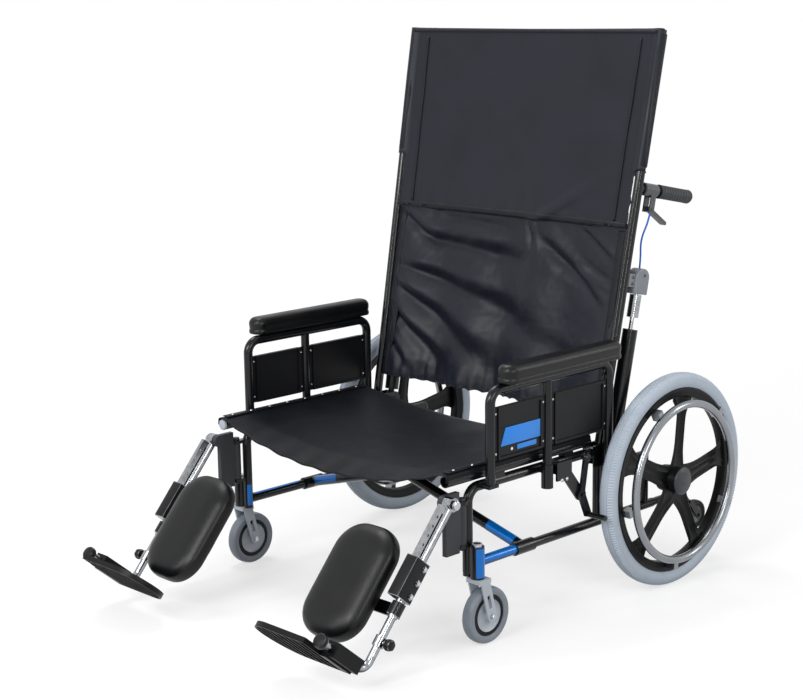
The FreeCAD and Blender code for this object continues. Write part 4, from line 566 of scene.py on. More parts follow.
for side, sign in SIDES:
    small_wheel(f"{side}_caster", f"{side}_caster_wheel", "grey_tyre", caster_rubber, pale_cast)
    small_wheel(f"{side}_roller", f"{side}_anti_tip_wheel", "wheel_black", black_nylon, grey_abs)
print("small wheels turned")

# %% [markdown]
# The push grips are soft rubber sleeves with rings for the fingers and a rounded end.  The lathe makes
# the rings too: a groove is two points nearer the axis, and the loop below repeats it along the grip.

# %% Push grips
HANDLE_ALONG = 604
GRIP_START = 75.5
GRIP_LENGTH = 120
GRIP_RADIUS = 16.0
GROOVE_RADIUS = GRIP_RADIUS - 1.5
RING_COUNT = 9
FIRST_RING = 9
PLAIN_ENDS = 26

grip_profile = [(10.6, 0), (14.6, 0), (16.4, 1.2), (16.4, 5), (15.2, 6.4)]
pitch = (GRIP_LENGTH - PLAIN_ENDS) / RING_COUNT
for ring in range(RING_COUNT):
    start = FIRST_RING + ring * pitch
    grip_profile += [(GROOVE_RADIUS, start), (GRIP_RADIUS, start + 1.4), (GRIP_RADIUS, start + pitch - 3.4),
                     (GROOVE_RADIUS, start + pitch - 2)]
grip_profile += [(16.3, GRIP_LENGTH - 14), (16.4, GRIP_LENGTH - 5), (14, GRIP_LENGTH - 1.2), (9, GRIP_LENGTH),
                 (0, GRIP_LENGTH)]
for side, sign in SIDES:
    start, end = (on_cane(sign, GRIP_START + reach, HANDLE_ALONG) for reach in (0, 100))
    grip = lathe(f"{side}_ringed_grip", grip_profile, start, end - start, 40, f"{side}_back", "grip_rubber",
                 grip_rubber, crease=50)
    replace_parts(grip, f"{side}_push_grip")
print("grips turned")

# %% [markdown]
# Seat and back are cloth stretched between tubes.  Each sling starts as a flat grid, and every point of
# the grid is dropped on to the solid it stands for with a ray, as cloth settles on a form.  A point that
# misses is nudged towards the middle until it lands, which trims the grid to the sling's outline.  The UV
# map is kept in metres of cloth.

# %% Lay cloth on a form
FORWARD = Vector((0, 1, 0))
DOWN = Vector((0, 0, -1))
RAY_ROOM = 0.2
NUDGE = 0.5
MOST_NUDGES = 400
CLOTH_WALL = 1.8


def form_of(node):
    """A ray-casting tree of a solid's faces."""
    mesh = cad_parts[node].data
    corners = [vert.co for vert in mesh.vertices]
    return BVHTree.FromPolygons(corners, [face.vertices for face in mesh.polygons])


def lay(form, ray, start, middle):
    """The first point that the ray meets, from a start that is nudged inwards at each miss."""
    start = Vector(start)
    inward = Vector(middle) - start
    inward -= inward.project(ray)
    for step in range(MOST_NUDGES):
        hit = form.ray_cast(start + inward.normalized() * step * NUDGE * MM, ray)[0]
        if hit:
            return hit
    raise RuntimeError("the ray missed the form")


def cloth_grid(columns, rows, width, length):
    """A grid from 0 to 1 both ways with its UV map in metres."""
    shape = bmesh.new()
    cloth = shape.loops.layers.uv.new("cloth")
    bmesh.ops.create_grid(shape, x_segments=columns, y_segments=rows, size=0.5)
    bmesh.ops.translate(shape, verts=shape.verts, vec=(0.5, 0.5, 0))
    for face in shape.faces:
        for corner in face.loops:
            corner[cloth].uv = (corner.vert.co.x * width, corner.vert.co.y * length)
    return shape


def hang(node, columns, rows, width, length, level=False):
    """A grid of cloth dropped on to a panel of the back, and each point's place on the flat cloth."""
    low, high, middle = span(node)
    form = form_of(node)
    shape = cloth_grid(columns, rows, width, length)
    spots = {vert: vert.co.copy() for vert in shape.verts}
    for vert, spot in spots.items():
        start = (low.x + (high.x - low.x) * spot.x, low.y - RAY_ROOM, low.z + (high.z - low.z) * spot.y)
        aim = (0, middle.y, start[2]) if level and 0.02 < spot.y < 0.98 else middle
        vert.co = lay(form, FORWARD, start, aim)
    return shape, spots


def thicken(piece, thickness):
    """A wall of cloth behind the modelled face."""
    wall = piece.modifiers.new("cloth_thickness", "SOLIDIFY")
    wall.thickness = thickness * MM
    wall.offset = -1


def sewn(name, shape, body, cloth, node):
    """A sling with its thickness, in place of a node."""
    piece = keep(name, shape, body, "nylon", cloth, crease=180)
    thicken(piece, CLOTH_WALL)
    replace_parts(piece, node)
    print(name, len(piece.data.polygons), "faces")
    return piece


def crumple(piece):
    """Give the piece a mesh of its own, copied from the one it had."""
    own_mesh(piece)

# %% [markdown]
# The lower back is the slack one: it hangs from the two canes and its folds fan out from the right-hand
# cane down towards the left.  Each fold is a line from one place on the cloth to another; points near the
# line are pushed back into a valley, and those just above it come forward as the ridge.  Puckers along
# the gathered bottom hem and a little noise finish it.  Smoothing first calms the form's own waves.

# %% Lower back
# Start and end across and down the cloth, then depth, and width at both ends in millimetres.
FOLDS = (
    (0.00, 0.05, 0.20, 0.25, 13, 10, 16), (0.10, 0.19, 0.62, 0.28, 12, 14, 24),
    (0.57, 0.03, 0.61, 0.22, 6, 8, 9), (0.62, 0.12, 0.95, 0.45, 13, 17, 10),
    (0.00, 0.34, 0.78, 0.66, 12, 10, 38), (0.00, 0.44, 0.52, 0.93, 14, 10, 36),
    (0.01, 0.58, 0.27, 0.93, 9, 8, 20), (0.02, 0.74, 0.14, 0.98, 6, 7, 12),
    (0.80, 0.05, 0.98, 0.22, 6, 8, 8), (0.98, 0.31, 0.80, 0.20, 5, 7, 12),
    (0.45, 0.58, 0.96, 0.82, 5, 20, 30), (0.20, 0.07, 0.52, 0.10, 4, 9, 14),
)
BACK_WIDTH = 0.742
LOWER_LENGTH = 0.44
PUCKER_PITCH = 0.034
PUCKER_ZONE = 0.2
CALMING_ROUNDS = 40


def fold_depth(u, down):
    """How far the cloth is pushed back here, in millimetres."""
    point = Vector((u * BACK_WIDTH, down * LOWER_LENGTH))
    total = 0.0
    for u0, v0, u1, v1, depth, near, far in FOLDS:
        start = Vector((u0 * BACK_WIDTH, v0 * LOWER_LENGTH))
        run = Vector((u1 * BACK_WIDTH, v1 * LOWER_LENGTH)) - start
        share = min(1.0, max(0.0, (point - start).dot(run) / run.length_squared))
        width = (near + (far - near) * share) * MM
        apart = point - start - run * share
        above = math.copysign(apart.length, run.x * apart.y - run.y * apart.x) / width
        fade = min(1.0, 4 * share + 0.25) * min(1.0, 3.0 * (1 - share))
        total += depth * fade * (math.exp(-above * above) - 0.55 * math.exp(-((above + 1.9) ** 2)))
    gathered = max(0.0, down - 1 + PUCKER_ZONE) / PUCKER_ZONE * (1.0 if u < 0.6 else 0.5)
    wave = math.sin(math.tau * point.x / PUCKER_PITCH + 2.2 * math.sin(9 * u)) + 0.5 * math.sin(41 * point.x)
    ripple = noise.noise(Vector((point.x * 26, point.y * 34, 1.7)))
    ripple += 0.5 * noise.noise(Vector((*point * 75, 4.1)))
    return total + 2.6 * gathered * wave + 1.5 * ripple


lower, spots = hang("back_lower", 150, 90, BACK_WIDTH, LOWER_LENGTH)
inner = [vert for vert in lower.verts if not vert.is_boundary]
for _ in range(CALMING_ROUNDS):
    bmesh.ops.smooth_vert(lower, verts=inner, factor=0.5, use_axis_x=False, use_axis_y=True, use_axis_z=False)
for vert, spot in spots.items():
    held = min(1.0, 14 * min(spot.x, 1 - spot.x) + 0.05)
    vert.co.y += fold_depth(spot.x, 1 - spot.y) * held * MM
    hem_wave = math.sin(math.tau * spot.x * BACK_WIDTH / PUCKER_PITCH)
    vert.co.z += 2.0 * MM * held * max(0.0, PUCKER_ZONE - spot.y) / PUCKER_ZONE * hem_wave
lower_form = BVHTree.FromBMesh(lower)
back_lower = sewn("lower_back_sling", lower, "left_back", sling_cloth, "back_lower")

# %% [markdown]
# The upper back is stretched tight, so it stays nearly smooth: one soft sweep near the left cane, broad
# waves, and faint ripples off the bottom seam.  Its edge points move level when they look for the form,
# which keeps the sides straight.

# %% Upper back
UPPER_WIDTH = 0.785
UPPER_LENGTH = 0.455
SWEEP_DEPTH = 10.0

upper, spots = hang("back_upper", 110, 70, UPPER_WIDTH, UPPER_LENGTH, level=True)
for vert, spot in spots.items():
    held = min(1.0, 9 * min(spot.x, 1 - spot.x))
    crease_line = 0.60 + 0.95 * spot.y
    sweep = SWEEP_DEPTH * math.exp(-((spot.x - crease_line) / 0.035) ** 2) * max(0.0, 1 - 3.0 * spot.y)
    wide = 4.0 * noise.noise(Vector((spot.x * 3.1, spot.y * 4.2, 0.4)))
    fine = 0.8 * noise.noise(Vector((spot.x * 19, spot.y * 13, 2.6)))
    fine += 0.9 * math.sin(spot.x * 88) * math.exp(-14 * spot.y)
    vert.co.y += (wide + fine - sweep) * held * MM
upper_form = BVHTree.FromBMesh(upper)
back_upper = sewn("upper_back_sling", upper, "left_back", sling_cloth, "back_upper")

# %% [markdown]
# The seat hangs between its two rails and is deepest in the middle, with a curved front hem.  The front
# edge is found first, column by column, by walking back from the toes until a ray from above meets the
# cloth.  The side edges are then extruded down as the flaps that wrap the rails.

# %% Seat
SEAT_WIDTH = 0.80
SEAT_LENGTH = 0.475
# The front hem is looked for within this many steps of a millimetre.
FRONT_STEPS = 300
# Each side starts this far inside the form, and grows two flaps: millimetres down and outwards.
EDGE_IN = 0.003
FLAPS = ((4, 3.0), (13, 1.2))

seat_low, seat_high, seat_middle = span("seat_sling")
form = form_of("seat_sling")


def front_of_seat(x):
    """Where the cloth starts at this distance across."""
    for step in range(FRONT_STEPS):
        if form.ray_cast(Vector((x, seat_low.y + step * MM, seat_high.z + RAY_ROOM)), DOWN)[0]:
            return seat_low.y + step * MM
    return seat_low.y


def across_seat(u):
    """The x of a share of the seat's width, from the right rail to the left."""
    return (seat_low.x + EDGE_IN) * (1 - 2 * u)


seat = cloth_grid(96, 64, SEAT_WIDTH, SEAT_LENGTH)
spots = {vert: vert.co.copy() for vert in seat.verts}
fronts = {round(spot.x, 4): front_of_seat(across_seat(spot.x)) for spot in spots.values()}
for vert, spot in spots.items():
    front = fronts[round(spot.x, 4)]
    back = front + (seat_high.y - MM - front) * spot.y
    vert.co = lay(form, DOWN, (across_seat(spot.x), back, seat_high.z + RAY_ROOM), seat_middle)
    held = min(1.0, 12 * min(spot.x, 1 - spot.x))
    drawn = 1.6 * math.sin(spot.x * 60) * math.exp(-9 * spot.y)
    drawn += 0.9 * noise.noise(Vector((spot.x * 9, spot.y * 7, 0)))
    vert.co.z += (drawn + 1.4 * noise.noise(Vector((spot.x * 3, spot.y * 3, 5)))) * held * MM
seat_form = BVHTree.FromBMesh(seat)
sides = [edge for edge in seat.edges if edge.is_boundary and abs(spots[edge.verts[0]].x - 0.5) > 0.49
         and abs(spots[edge.verts[1]].x - 0.5) > 0.49]
for drop, out in FLAPS:
    grown = bmesh.ops.extrude_edge_only(seat, edges=sides)["geom"]
    for vert in (item for item in grown if isinstance(item, bmesh.types.BMVert)):
        vert.co += Vector((math.copysign(out, vert.co.x), 0, -drop)) * MM
    sides = [item for item in grown if isinstance(item, bmesh.types.BMEdge)]
seat_sling = sewn("seat_cloth", seat, "seat", shaded_seat_cloth, "seat_sling")

# %% [markdown]
# The rear wheels are moulded in one piece: a rim, five spokes that flare into it, and a barrel hub.  Rim
# and hub come off the lathe.  A spoke is a grid stretched from hub to rim: its width narrows and flares
# again, its two edges stand up as ribs, and solidify gives it depth.

# %% Rear wheels
RIM_HALF = [(219, 15), (213, 15.4), (208, 12.6), (203, 13.2), (198.4, 12), (196.4, 8), (196, 0)]
HUB = [(6.4, -28), (26, -28), (30.5, -24), (32.5, -9), (32.5, 9), (27, 19), (24.5, 30), (6.4, 30), (6.4, -28)]
HUB_CAP = [(0, 41), (7.4, 41), (9, 39.8), (21, 38.6), (29, 36.2), (32.4, 33.6), (33, 31.8), (31, 30.2),
           (0, 30.2)]
SPOKE_COUNT = 5
SPOKE_PHASE = 82
SPOKE_RUN = (24, 199)
SPOKE_DEPTH = 13


def spoke_half_width(share):
    """Half a spoke's width in millimetres, from its root at 0 to the rim at 1."""
    return 17 + 13 * max(0.0, 1 - share / 0.42) ** 2 + 20 * max(0.0, (share - 0.72) / 0.28) ** 2.4


for side, sign in SIDES:
    hub = span(f"{side}_rear_tyre")[2]
    shape = bmesh.new()
    turned(shape, mirrored_profile(RIM_HALF), hub, (sign, 0, 0), 120)
    turned(shape, HUB, hub, (sign, 0, 0), 48)
    for number in range(SPOKE_COUNT):
        angle = math.radians(SPOKE_PHASE + number * 360 / SPOKE_COUNT)
        out = Vector((0, math.cos(angle), math.sin(angle)))
        aside = Vector((0, -math.sin(angle), math.cos(angle)))
        grid = bmesh.ops.create_grid(shape, x_segments=20, y_segments=12, size=0.5)["verts"]
        for vert in grid:
            share, wide = vert.co.x + 0.5, vert.co.y * 2
            radius = SPOKE_RUN[0] + (SPOKE_RUN[1] - SPOKE_RUN[0]) * share
            rib = 3.4 * math.exp(-((abs(wide) - 0.86) / 0.13) ** 2)
            rib -= 2.2 * max(0.0, 1 - abs(wide) / 0.55) ** 0.5
            lift = 11 - 5 * share + rib * min(1.0, 6 * share, 5 * (1.05 - share))
            vert.co = hub + (out * radius + aside * wide * spoke_half_width(share)
                             + Vector((sign * lift, 0, 0))) * MM
        faces = list(dict.fromkeys(face for vert in grid for face in vert.link_faces))
        for face in faces:
            if face.normal.x * sign < 0:
                face.normal_flip()
        bmesh.ops.solidify(shape, geom=faces, thickness=SPOKE_DEPTH * MM)
    wheel = keep(f"{side}_mag_wheel", shape, f"{side}_rear_wheel", "wheel_black", black_nylon, crease=38)
    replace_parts(wheel, f"{side}_rear_wheel")
    lathe(f"{side}_hub_cap", HUB_CAP, hub, (sign, 0, 0), 48, f"{side}_rear_wheel", "black_plastic", cap_grey,
          crease=30)
print("rear wheels moulded")

# %% [markdown]
# An armrest pad is foam moulded under vinyl: a long block with round ends, a domed top and a seam a
# finger's width above its base.  Bevels round it, two insets raise the dome, and three cuts make the
# seam, whose middle one is drawn inwards.

# %% Armrest pads
# Millimetres: how wide and high each inset of the dome is, and each seam cut's height and pull.
PAD_DOME = ((3, 0.5), (3, 0.3))
PAD_SEAM = ((10, 0.0), (12, 1.8), (14, 0.0))


def soften(piece, levels):
    """Subdivide a padded piece, the same in the viewport and the render."""
    round_off = piece.modifiers.new("soft_form", "SUBSURF")
    round_off.levels = levels
    round_off.render_levels = levels


def upright(edge, axis):
    """Whether an edge runs along this axis, 0 for x, 1 for y and 2 for z."""
    run = edge.verts[1].co - edge.verts[0].co
    return abs(run[axis]) > 0.99 * run.length


def bevel(shape, edges, offset, segments):
    """Round these edges off by millimetres."""
    bmesh.ops.bevel(shape, geom=edges, offset=offset * MM, segments=segments, profile=0.5, affect="EDGES",
                    material=-1)


def edges_at(shape, z):
    """The edges that lie at this height."""
    return [edge for edge in shape.edges if all(abs(vert.co.z - z) < 1e-5 for vert in edge.verts)]


for side, sign in SIDES:
    low, high, middle = span(f"{side}_armrest_pad")
    shape = bmesh.new()
    bmesh.ops.create_cube(shape, size=1)
    bmesh.ops.scale(shape, verts=shape.verts, vec=high - low)
    bmesh.ops.translate(shape, verts=shape.verts, vec=middle)
    bevel(shape, [edge for edge in shape.edges if upright(edge, 2)], 23, 8)
    bevel(shape, edges_at(shape, high.z), 17, 6)
    bevel(shape, edges_at(shape, low.z), 4, 2)
    top = max(shape.faces, key=lambda face: face.calc_center_median().z)
    for width, rise in PAD_DOME:
        bmesh.ops.inset_individual(shape, faces=[top], thickness=width * MM, depth=rise * MM)
    for seam, pull in PAD_SEAM:
        cut = bmesh.ops.bisect_plane(shape, geom=list(shape.verts) + list(shape.edges) + list(shape.faces),
                                     plane_co=(0, 0, low.z + seam * MM), plane_no=(0, 0, 1))["geom_cut"]
        for vert in (item for item in cut if isinstance(item, bmesh.types.BMVert)):
            inward = Vector((middle.x - vert.co.x, max(-1, min(1, (middle.y - vert.co.y) * 8)) * 0.02, 0))
            vert.co += inward.normalized() * pull * MM
    pad = keep(f"{side}_armrest_cushion", shape, f"{side}_armrest", "vinyl", vinyl, crease=180)
    soften(pad, 1)
    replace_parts(pad, f"{side}_armrest_pad")
print("armrest pads upholstered")

# %% [markdown]
# A legrest has its own slanted frame: across, towards the toes, and down the leg.  Pieces are modelled
# upright there and turned into place with one matrix.  A calf pad is a capsule-shaped slab with a welt
# round its edge; insets step its face up to a crown, and subdivision rounds the steps into one curve.

# %% Calf pads
LEG_PIVOT = Vector((0.397, AXLE_Y - 0.694, 0.334))
LEG_TURN = Matrix.Rotation(math.radians(-40.8), 4, "X")
CALF_PAD = Vector((165, 30, 258))
CALF_PLACE = Vector((-125, -27, -231))
CALF_CORNER = 66
# Millimetres inwards and up for each step of the crown.
CALF_CROWN = ((4, 4.0), (7, 5.0), (10, 4.0), (14, 2.4), (20, 1.2))


def slab(shape, size, place):
    """A block of this size and middle, in millimetres; returns its vertices."""
    made = bmesh.ops.create_cube(shape, size=1)["verts"]
    bmesh.ops.scale(shape, verts=made, vec=Vector(size) * MM)
    bmesh.ops.translate(shape, verts=made, vec=Vector(place) * MM)
    return made


for side, sign in SIDES:
    shape = bmesh.new()
    slab(shape, CALF_PAD, CALF_PLACE)
    bevel(shape, [edge for edge in shape.edges if upright(edge, 1)], CALF_CORNER, 12)
    face_on = min(shape.faces, key=lambda face: face.calc_center_median().y)
    behind = max(shape.faces, key=lambda face: face.calc_center_median().y)
    rim = [face for face in shape.faces if face not in (face_on, behind)]
    bmesh.ops.inset_region(shape, faces=rim, thickness=8 * MM, depth=2.5 * MM, use_boundary=True,
                           use_even_offset=True)
    for width, rise in CALF_CROWN:
        bmesh.ops.inset_individual(shape, faces=[face_on], thickness=width * MM, depth=rise * MM)
    bmesh.ops.inset_individual(shape, faces=[behind], thickness=5 * MM, depth=1.0 * MM)
    settle(shape, sign, LEG_PIVOT, LEG_TURN)
    pad = keep(f"{side}_calf_cushion", shape, f"{side}_calf_support", "vinyl", vinyl, crease=180)
    soften(pad, 2)
    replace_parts(pad, f"{side}_calf_pad")
print("calf pads upholstered")

# %% [markdown]
# Tape, hems and stitches make cloth look sewn.  A tape is a narrow grid laid on the finished sling with
# the same rays, then lifted by its own thickness.  A stitch is a tiny bar along the seam; there are
# hundreds, so each is a plain box.

# %% Sewing helpers
STITCH_PITCH = 8.0
STITCH_SIZE = Vector((5.2, 1.1, 1.0))
TAPE_STEP = 0.006


def on_cloth(form, ray, guess):
    """The cloth's surface in line with a guess."""
    return form.ray_cast(guess - ray * 0.3, ray)[0] or form.find_nearest(guess)[0]


def tape(shape, form, ray, start, end, width, lift):
    """A strip between two points, laid on the cloth; width and lift are in millimetres."""
    start, end = Vector(start), Vector(end)
    run = end - start
    aside = ray.cross(run).normalized() * width * MM
    cloth = shape.loops.layers.uv.verify()
    columns = max(2, int(run.length / TAPE_STEP))
    strip = bmesh.ops.create_grid(shape, x_segments=columns, y_segments=3, size=0.5)["verts"]
    for face in {face for vert in strip for face in vert.link_faces}:
        for corner in face.loops:
            corner[cloth].uv = (corner.vert.co.x * run.length, corner.vert.co.y * width * MM)
    for vert in strip:
        guess = start + run * (vert.co.x + 0.5) + aside * vert.co.y
        vert.co = on_cloth(form, ray, guess) - ray * lift * MM


def stitch(shape, form, ray, start, end, lift):
    """A row of stitches between two points on the cloth."""
    start, end = Vector(start), Vector(end)
    run = end - start
    turn = Matrix((run.normalized(), ray.cross(run).normalized(), -ray)).transposed().to_4x4()
    for number in range(int(run.length / STITCH_PITCH / MM)):
        guess = start + run.normalized() * (number + 0.5) * STITCH_PITCH * MM
        spot = on_cloth(form, ray, guess) - ray * lift * MM
        bmesh.ops.create_cube(shape, size=1, matrix=Matrix.Translation(spot) @ turn
                              @ Matrix.Diagonal((*STITCH_SIZE * MM, 1)))

# %% [markdown]
# The back has a hem where the upper panel overlaps the lower, a narrow one along the top, a seam beside
# each cane, and bindings down the sides and along the foot of the lower panel.  They lie on the slings and
# move with the back.

# %% Back hems
# The cloth, both ends and the width in millimetres.
HEMS = (
    (upper_form, (-0.374, 0, 0.853), (0.374, 0, 0.853), 15),
    (upper_form, (-0.386, 0, 1.289), (0.386, 0, 1.289), 6),
    (upper_form, (-0.330, 0, 0.862), (-0.340, 0, 1.274), 7),
    (upper_form, (0.330, 0, 0.862), (0.340, 0, 1.274), 7),
    (lower_form, (-0.356, 0, 0.425), (-0.356, 0, 0.842), 20),
    (lower_form, (0.356, 0, 0.425), (0.356, 0, 0.842), 20),
    (lower_form, (-0.345, 0, 0.422), (0.345, 0, 0.422), 14),
)
HEM_LIFT = 1.3
HEM_WALL = 1.2
STITCH_LIFT = 1.7
STITCH_IN = 2

shape = bmesh.new()
for form, start, end, width in HEMS:
    tape(shape, form, FORWARD, start, end, width, HEM_LIFT)
back_hems = keep("back_hems", shape, "left_back", "nylon", hem_cloth, crease=60)
thicken(back_hems, HEM_WALL)
shape = bmesh.new()
for form, start, end, width in HEMS:
    along = (Vector(end) - Vector(start)).normalized()
    aside = FORWARD.cross(along) * (width / 2 - STITCH_IN) * MM
    for edge in (aside, -aside):
        stitch(shape, form, FORWARD, Vector(start) + edge, Vector(end) + edge, STITCH_LIFT)
back_stitches = keep("back_stitches", shape, "left_back", "nylon", thread)
print("stitched the back", len(back_stitches.data.polygons) // 6, "stitches")

# %% [markdown]
# Above the push handles, the cloth closes round each cane as a sleeve.  Below them the canes are bare.  A
# sleeve is a short lathe profile about the cane's own line.

# %% Cane sleeves
SLEEVE_START = 652
SLEEVE_END = 955
SLEEVE = [(11.3, SLEEVE_START), (12.6, SLEEVE_START), (13.3, SLEEVE_START + 2), (13.3, SLEEVE_END - 2),
          (12.6, SLEEVE_END), (11.3, SLEEVE_END), (11.3, SLEEVE_START)]

for side, sign in SIDES:
    foot = on_cane(sign, 0, 0)
    lathe(f"{side}_cane_sleeve", SLEEVE, foot, on_cane(sign, 0, 100) - foot, 36, f"{side}_back", "nylon",
          hem_cloth)
print("sleeves sewn")

# %% [markdown]
# The seat is screwed down along its rails through a flat strip.  A screw is a domed head with a socket;
# one small lathe profile makes it, and a ray finds the surface that it sits on.

# %% Seat strips and screws
STRIP_X = 0.369
STRIP_Z = 0.39
STRIP_WIDTH = 19
STRIP_LIFT = 2.2
STRIP_WALL = 1.4
SCREW_COUNT = 8
SCREW_START = 0.035
SCREW_PITCH = 0.058
SCREW_SIZE = 0.85
DOME = [(0, 1.0), (1.3, 1.0), (1.5, 2.0), (2.6, 1.7), (3.7, 0.9), (4.1, -0.4), (0, -0.4)]
DOME_STEPS = 14


def stud(shape, form, ray, start, size):
    """A domed screw head where a ray from the start meets a surface."""
    ray = Vector(ray)
    spot = form.ray_cast(Vector(start), ray)[0]
    if spot:
        turned(shape, [(radius * size, along * size) for radius, along in DOME], spot, -ray, DOME_STEPS)
    else:
        print("no surface for a screw at", start)


seat_trim = []
for side, sign in SIDES:
    shape = bmesh.new()
    start = (sign * STRIP_X, seat_low.y + 0.012, STRIP_Z)
    end = (sign * STRIP_X, seat_high.y - 0.006, STRIP_Z)
    tape(shape, seat_form, DOWN, start, end, STRIP_WIDTH, STRIP_LIFT)
    strip = keep(f"{side}_seat_strip", shape, "seat", "black_plastic", black_abs, crease=60)
    thicken(strip, STRIP_WALL)
    shape = bmesh.new()
    flat = BVHTree.FromObject(strip, bpy.context.evaluated_depsgraph_get())
    for number in range(SCREW_COUNT):
        above = (sign * STRIP_X, seat_low.y + SCREW_START + number * SCREW_PITCH, 0.6)
        stud(shape, flat, DOWN, above, SCREW_SIZE)
    screws = keep(f"{side}_seat_screws", shape, "seat", "steel", zinc)
    seat_trim += [strip, screws]
print("seat strips fixed")

# %% [markdown]
# Some tubes show candy blue: the front of the lower rails, the caster housings, strips on the posts and the
# lower ends of the cross braces.  The blue is lacquer, but a shell covers only the side of its tube that
# catches the light, so its part-way sweep is painted reflection.  Each is a thin shell over the tube, a
# closed profile spun part of the way round, with its two ends filled.

# %% Blue shells
CASTER_X = 0.398
FRONT_POST_Y = AXLE_Y - 0.614
REAR_POST_Y = AXLE_Y - 0.177
LOWER_RAIL_Z = 0.174
SEAT_RAIL_Z = 0.3738
# A shell's inner and outer height over the tube, in millimetres.
SKIN = (0.05, 0.4)
BRACE_END = (0.022, 0.105)


def shell(shape, radius, start, end, towards, sweep):
    """A thin skin on a tube from start to end, centred on a direction and swept by degrees."""
    start, end = Vector(start), Vector(end)
    axis = (end - start).normalized()
    first = Matrix.Rotation(-math.radians(sweep) / 2, 3, axis) @ Vector(towards).normalized()
    inner, outer = (first * (radius + height) * MM for height in SKIN)
    corners = (start + inner, start + outer, end + outer, end + inner)
    points = [shape.verts.new(corner) for corner in corners]
    edges = [shape.edges.new((points[i], points[i - 1])) for i in range(4)]
    bmesh.ops.spin(shape, geom=points + edges, cent=start, axis=axis, dvec=(0, 0, 0),
                   angle=math.radians(sweep), steps=max(6, int(sweep / 7)), use_merge=False)
    ends = [edge for edge in shape.edges if edge.is_boundary]
    bmesh.ops.holes_fill(shape, edges=ends, sides=4)


for side, sign in SIDES:
    shape = bmesh.new()
    rail = sign * RAIL_X
    # Lacquer blue only on the side that catches the light: the part-way sweeps paint its reflection.
    shell(shape, 11, (rail, -0.176, LOWER_RAIL_Z), (rail, -0.032, LOWER_RAIL_Z), (sign, 0, 0.4), 200)
    # Radius, place across and along, low and high end, direction and sweep of each upright shell.
    for radius, x, y, low, high, towards, sweep in (
        (15.5, sign * CASTER_X, FRONT_POST_Y, 0.156, 0.221, (sign, 0.35, 0), 150),
        (11.1, rail, FRONT_POST_Y, 0.160, 0.212, (-sign, -0.3, 0), 70),
        (11.1, rail, REAR_POST_Y, 0.188, 0.290, (sign, 0.9, 0), 60),
    ):
        shell(shape, radius, (x, y, low), (x, y, high), towards, sweep)
    keep(f"{side}_blue_shells", shape, f"{side}_frame", "black_paint", candy_blue)
for name, sign in (("cross_a", 1), ("cross_b", -1)):
    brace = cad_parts[name.replace("cross", "cross_brace")].data
    across = [vert.co.y for vert in brace.vertices if abs(vert.co.x) < 0.02 and vert.co.z < 0.3]
    middle = (min(across) + max(across)) / 2
    low_end = Vector((sign * RAIL_X, middle, LOWER_RAIL_Z))
    run = Vector((-sign * 2 * RAIL_X, 0, SEAT_RAIL_Z - LOWER_RAIL_Z)).normalized()
    shape = bmesh.new()
    shell(shape, 12.5, low_end + run * BRACE_END[0], low_end + run * BRACE_END[1], (0, -1, 0.2), 300)
    keep(f"{name}_blue_end", shape, name, "black_paint", candy_blue)
print("blue shells fitted")

# %% [markdown]
# Each front skirt panel carries a plain blue plate with a slanted front end, a smaller blue label under
# it and a white dot.  The plates are slabs with a touch of bevel, sheared by moving two corners, and the
# panel screws are set round them.

# %% Plates and panel screws
PLATE_X = 404.3
PLATE_Y = AXLE_Y / MM - 482.5
PLATE_Z = 450
PLATE_SLANT = 16
DOT = [(0, 0.5), (3.2, 0.5), (3.5, 0.2), (3.5, 0), (0, 0)]
PANEL_SCREWS = [(y, z) for y in (-0.1385, 0.0145, 0.0475, 0.2265) for z in (0.416, 0.504)]
PANEL_SCREW_SIZE = 0.72

for side, sign in SIDES:
    shape = bmesh.new()
    corners = slab(shape, (0.9, 128, 39), (PLATE_X + 0.45, PLATE_Y, PLATE_Z))
    for vert in corners:
        if vert.co.y < PLATE_Y * MM and vert.co.z > PLATE_Z * MM:
            vert.co.y += PLATE_SLANT * MM
    slab(shape, (0.5, 62, 11), (403.4, PLATE_Y + 22, 420))
    bevel(shape, list(shape.edges), 0.25, 2)
    bmesh.ops.scale(shape, verts=shape.verts, vec=(sign, 1, 1))
    keep(f"{side}_blue_plates", shape, f"{side}_armrest", "cable_blue", label_blue)
    lathe(f"{side}_white_dot", DOT, (sign * 0.40305, (PLATE_Y - 26) * MM, 0.419), (sign, 0, 0), 24,
          f"{side}_armrest", "cable_blue", dot_white)
    panels = form_of(f"{side}_armrest_panels")
    shape = bmesh.new()
    for y, z in PANEL_SCREWS:
        stud(shape, panels, (-sign, 0, 0), (sign * 0.6, y, z), PANEL_SCREW_SIZE)
        stud(shape, panels, (sign, 0, 0), (sign * 0.2, y, z), PANEL_SCREW_SIZE)
    keep(f"{side}_panel_screws", shape, f"{side}_armrest", "steel", zinc)
print("plates and screws set")

# %% [markdown]
# On the legrests a black clamp grips the chrome tube, with hexagon bolts through it.  The foot tube has a
# black end cap, and a lobed knob locks its length.  A lathe with six steps turns a hexagon, so bolts need
# no other tool.

# %% Legrest fittings
BOLT = [(0, 4.2), (4.6, 4.2), (5.6, 3.4), (5.6, 0), (7.4, 0), (7.4, -0.8), (0, -0.8)]
PIVOT_CAP = [(0, 2.4), (7.6, 2.4), (9.6, 1.2), (9.6, -5), (0, -5)]
END_CAP = [(0, 159), (10, 159), (14, 157.4), (15.8, 154), (15.8, 147), (14.4, 143.6), (0, 143.6)]
KNOB = [(0, 36.4), (8, 36.4), (11.2, 34.6), (12, 31), (12, 24), (10.4, 20.6), (0, 20.6)]
CLAMP_BOLTS = (150, 182, 214)
END_CAP_DOWN = 392
KNOB_DOWN = 0.323
KNOB_LOBES = 6

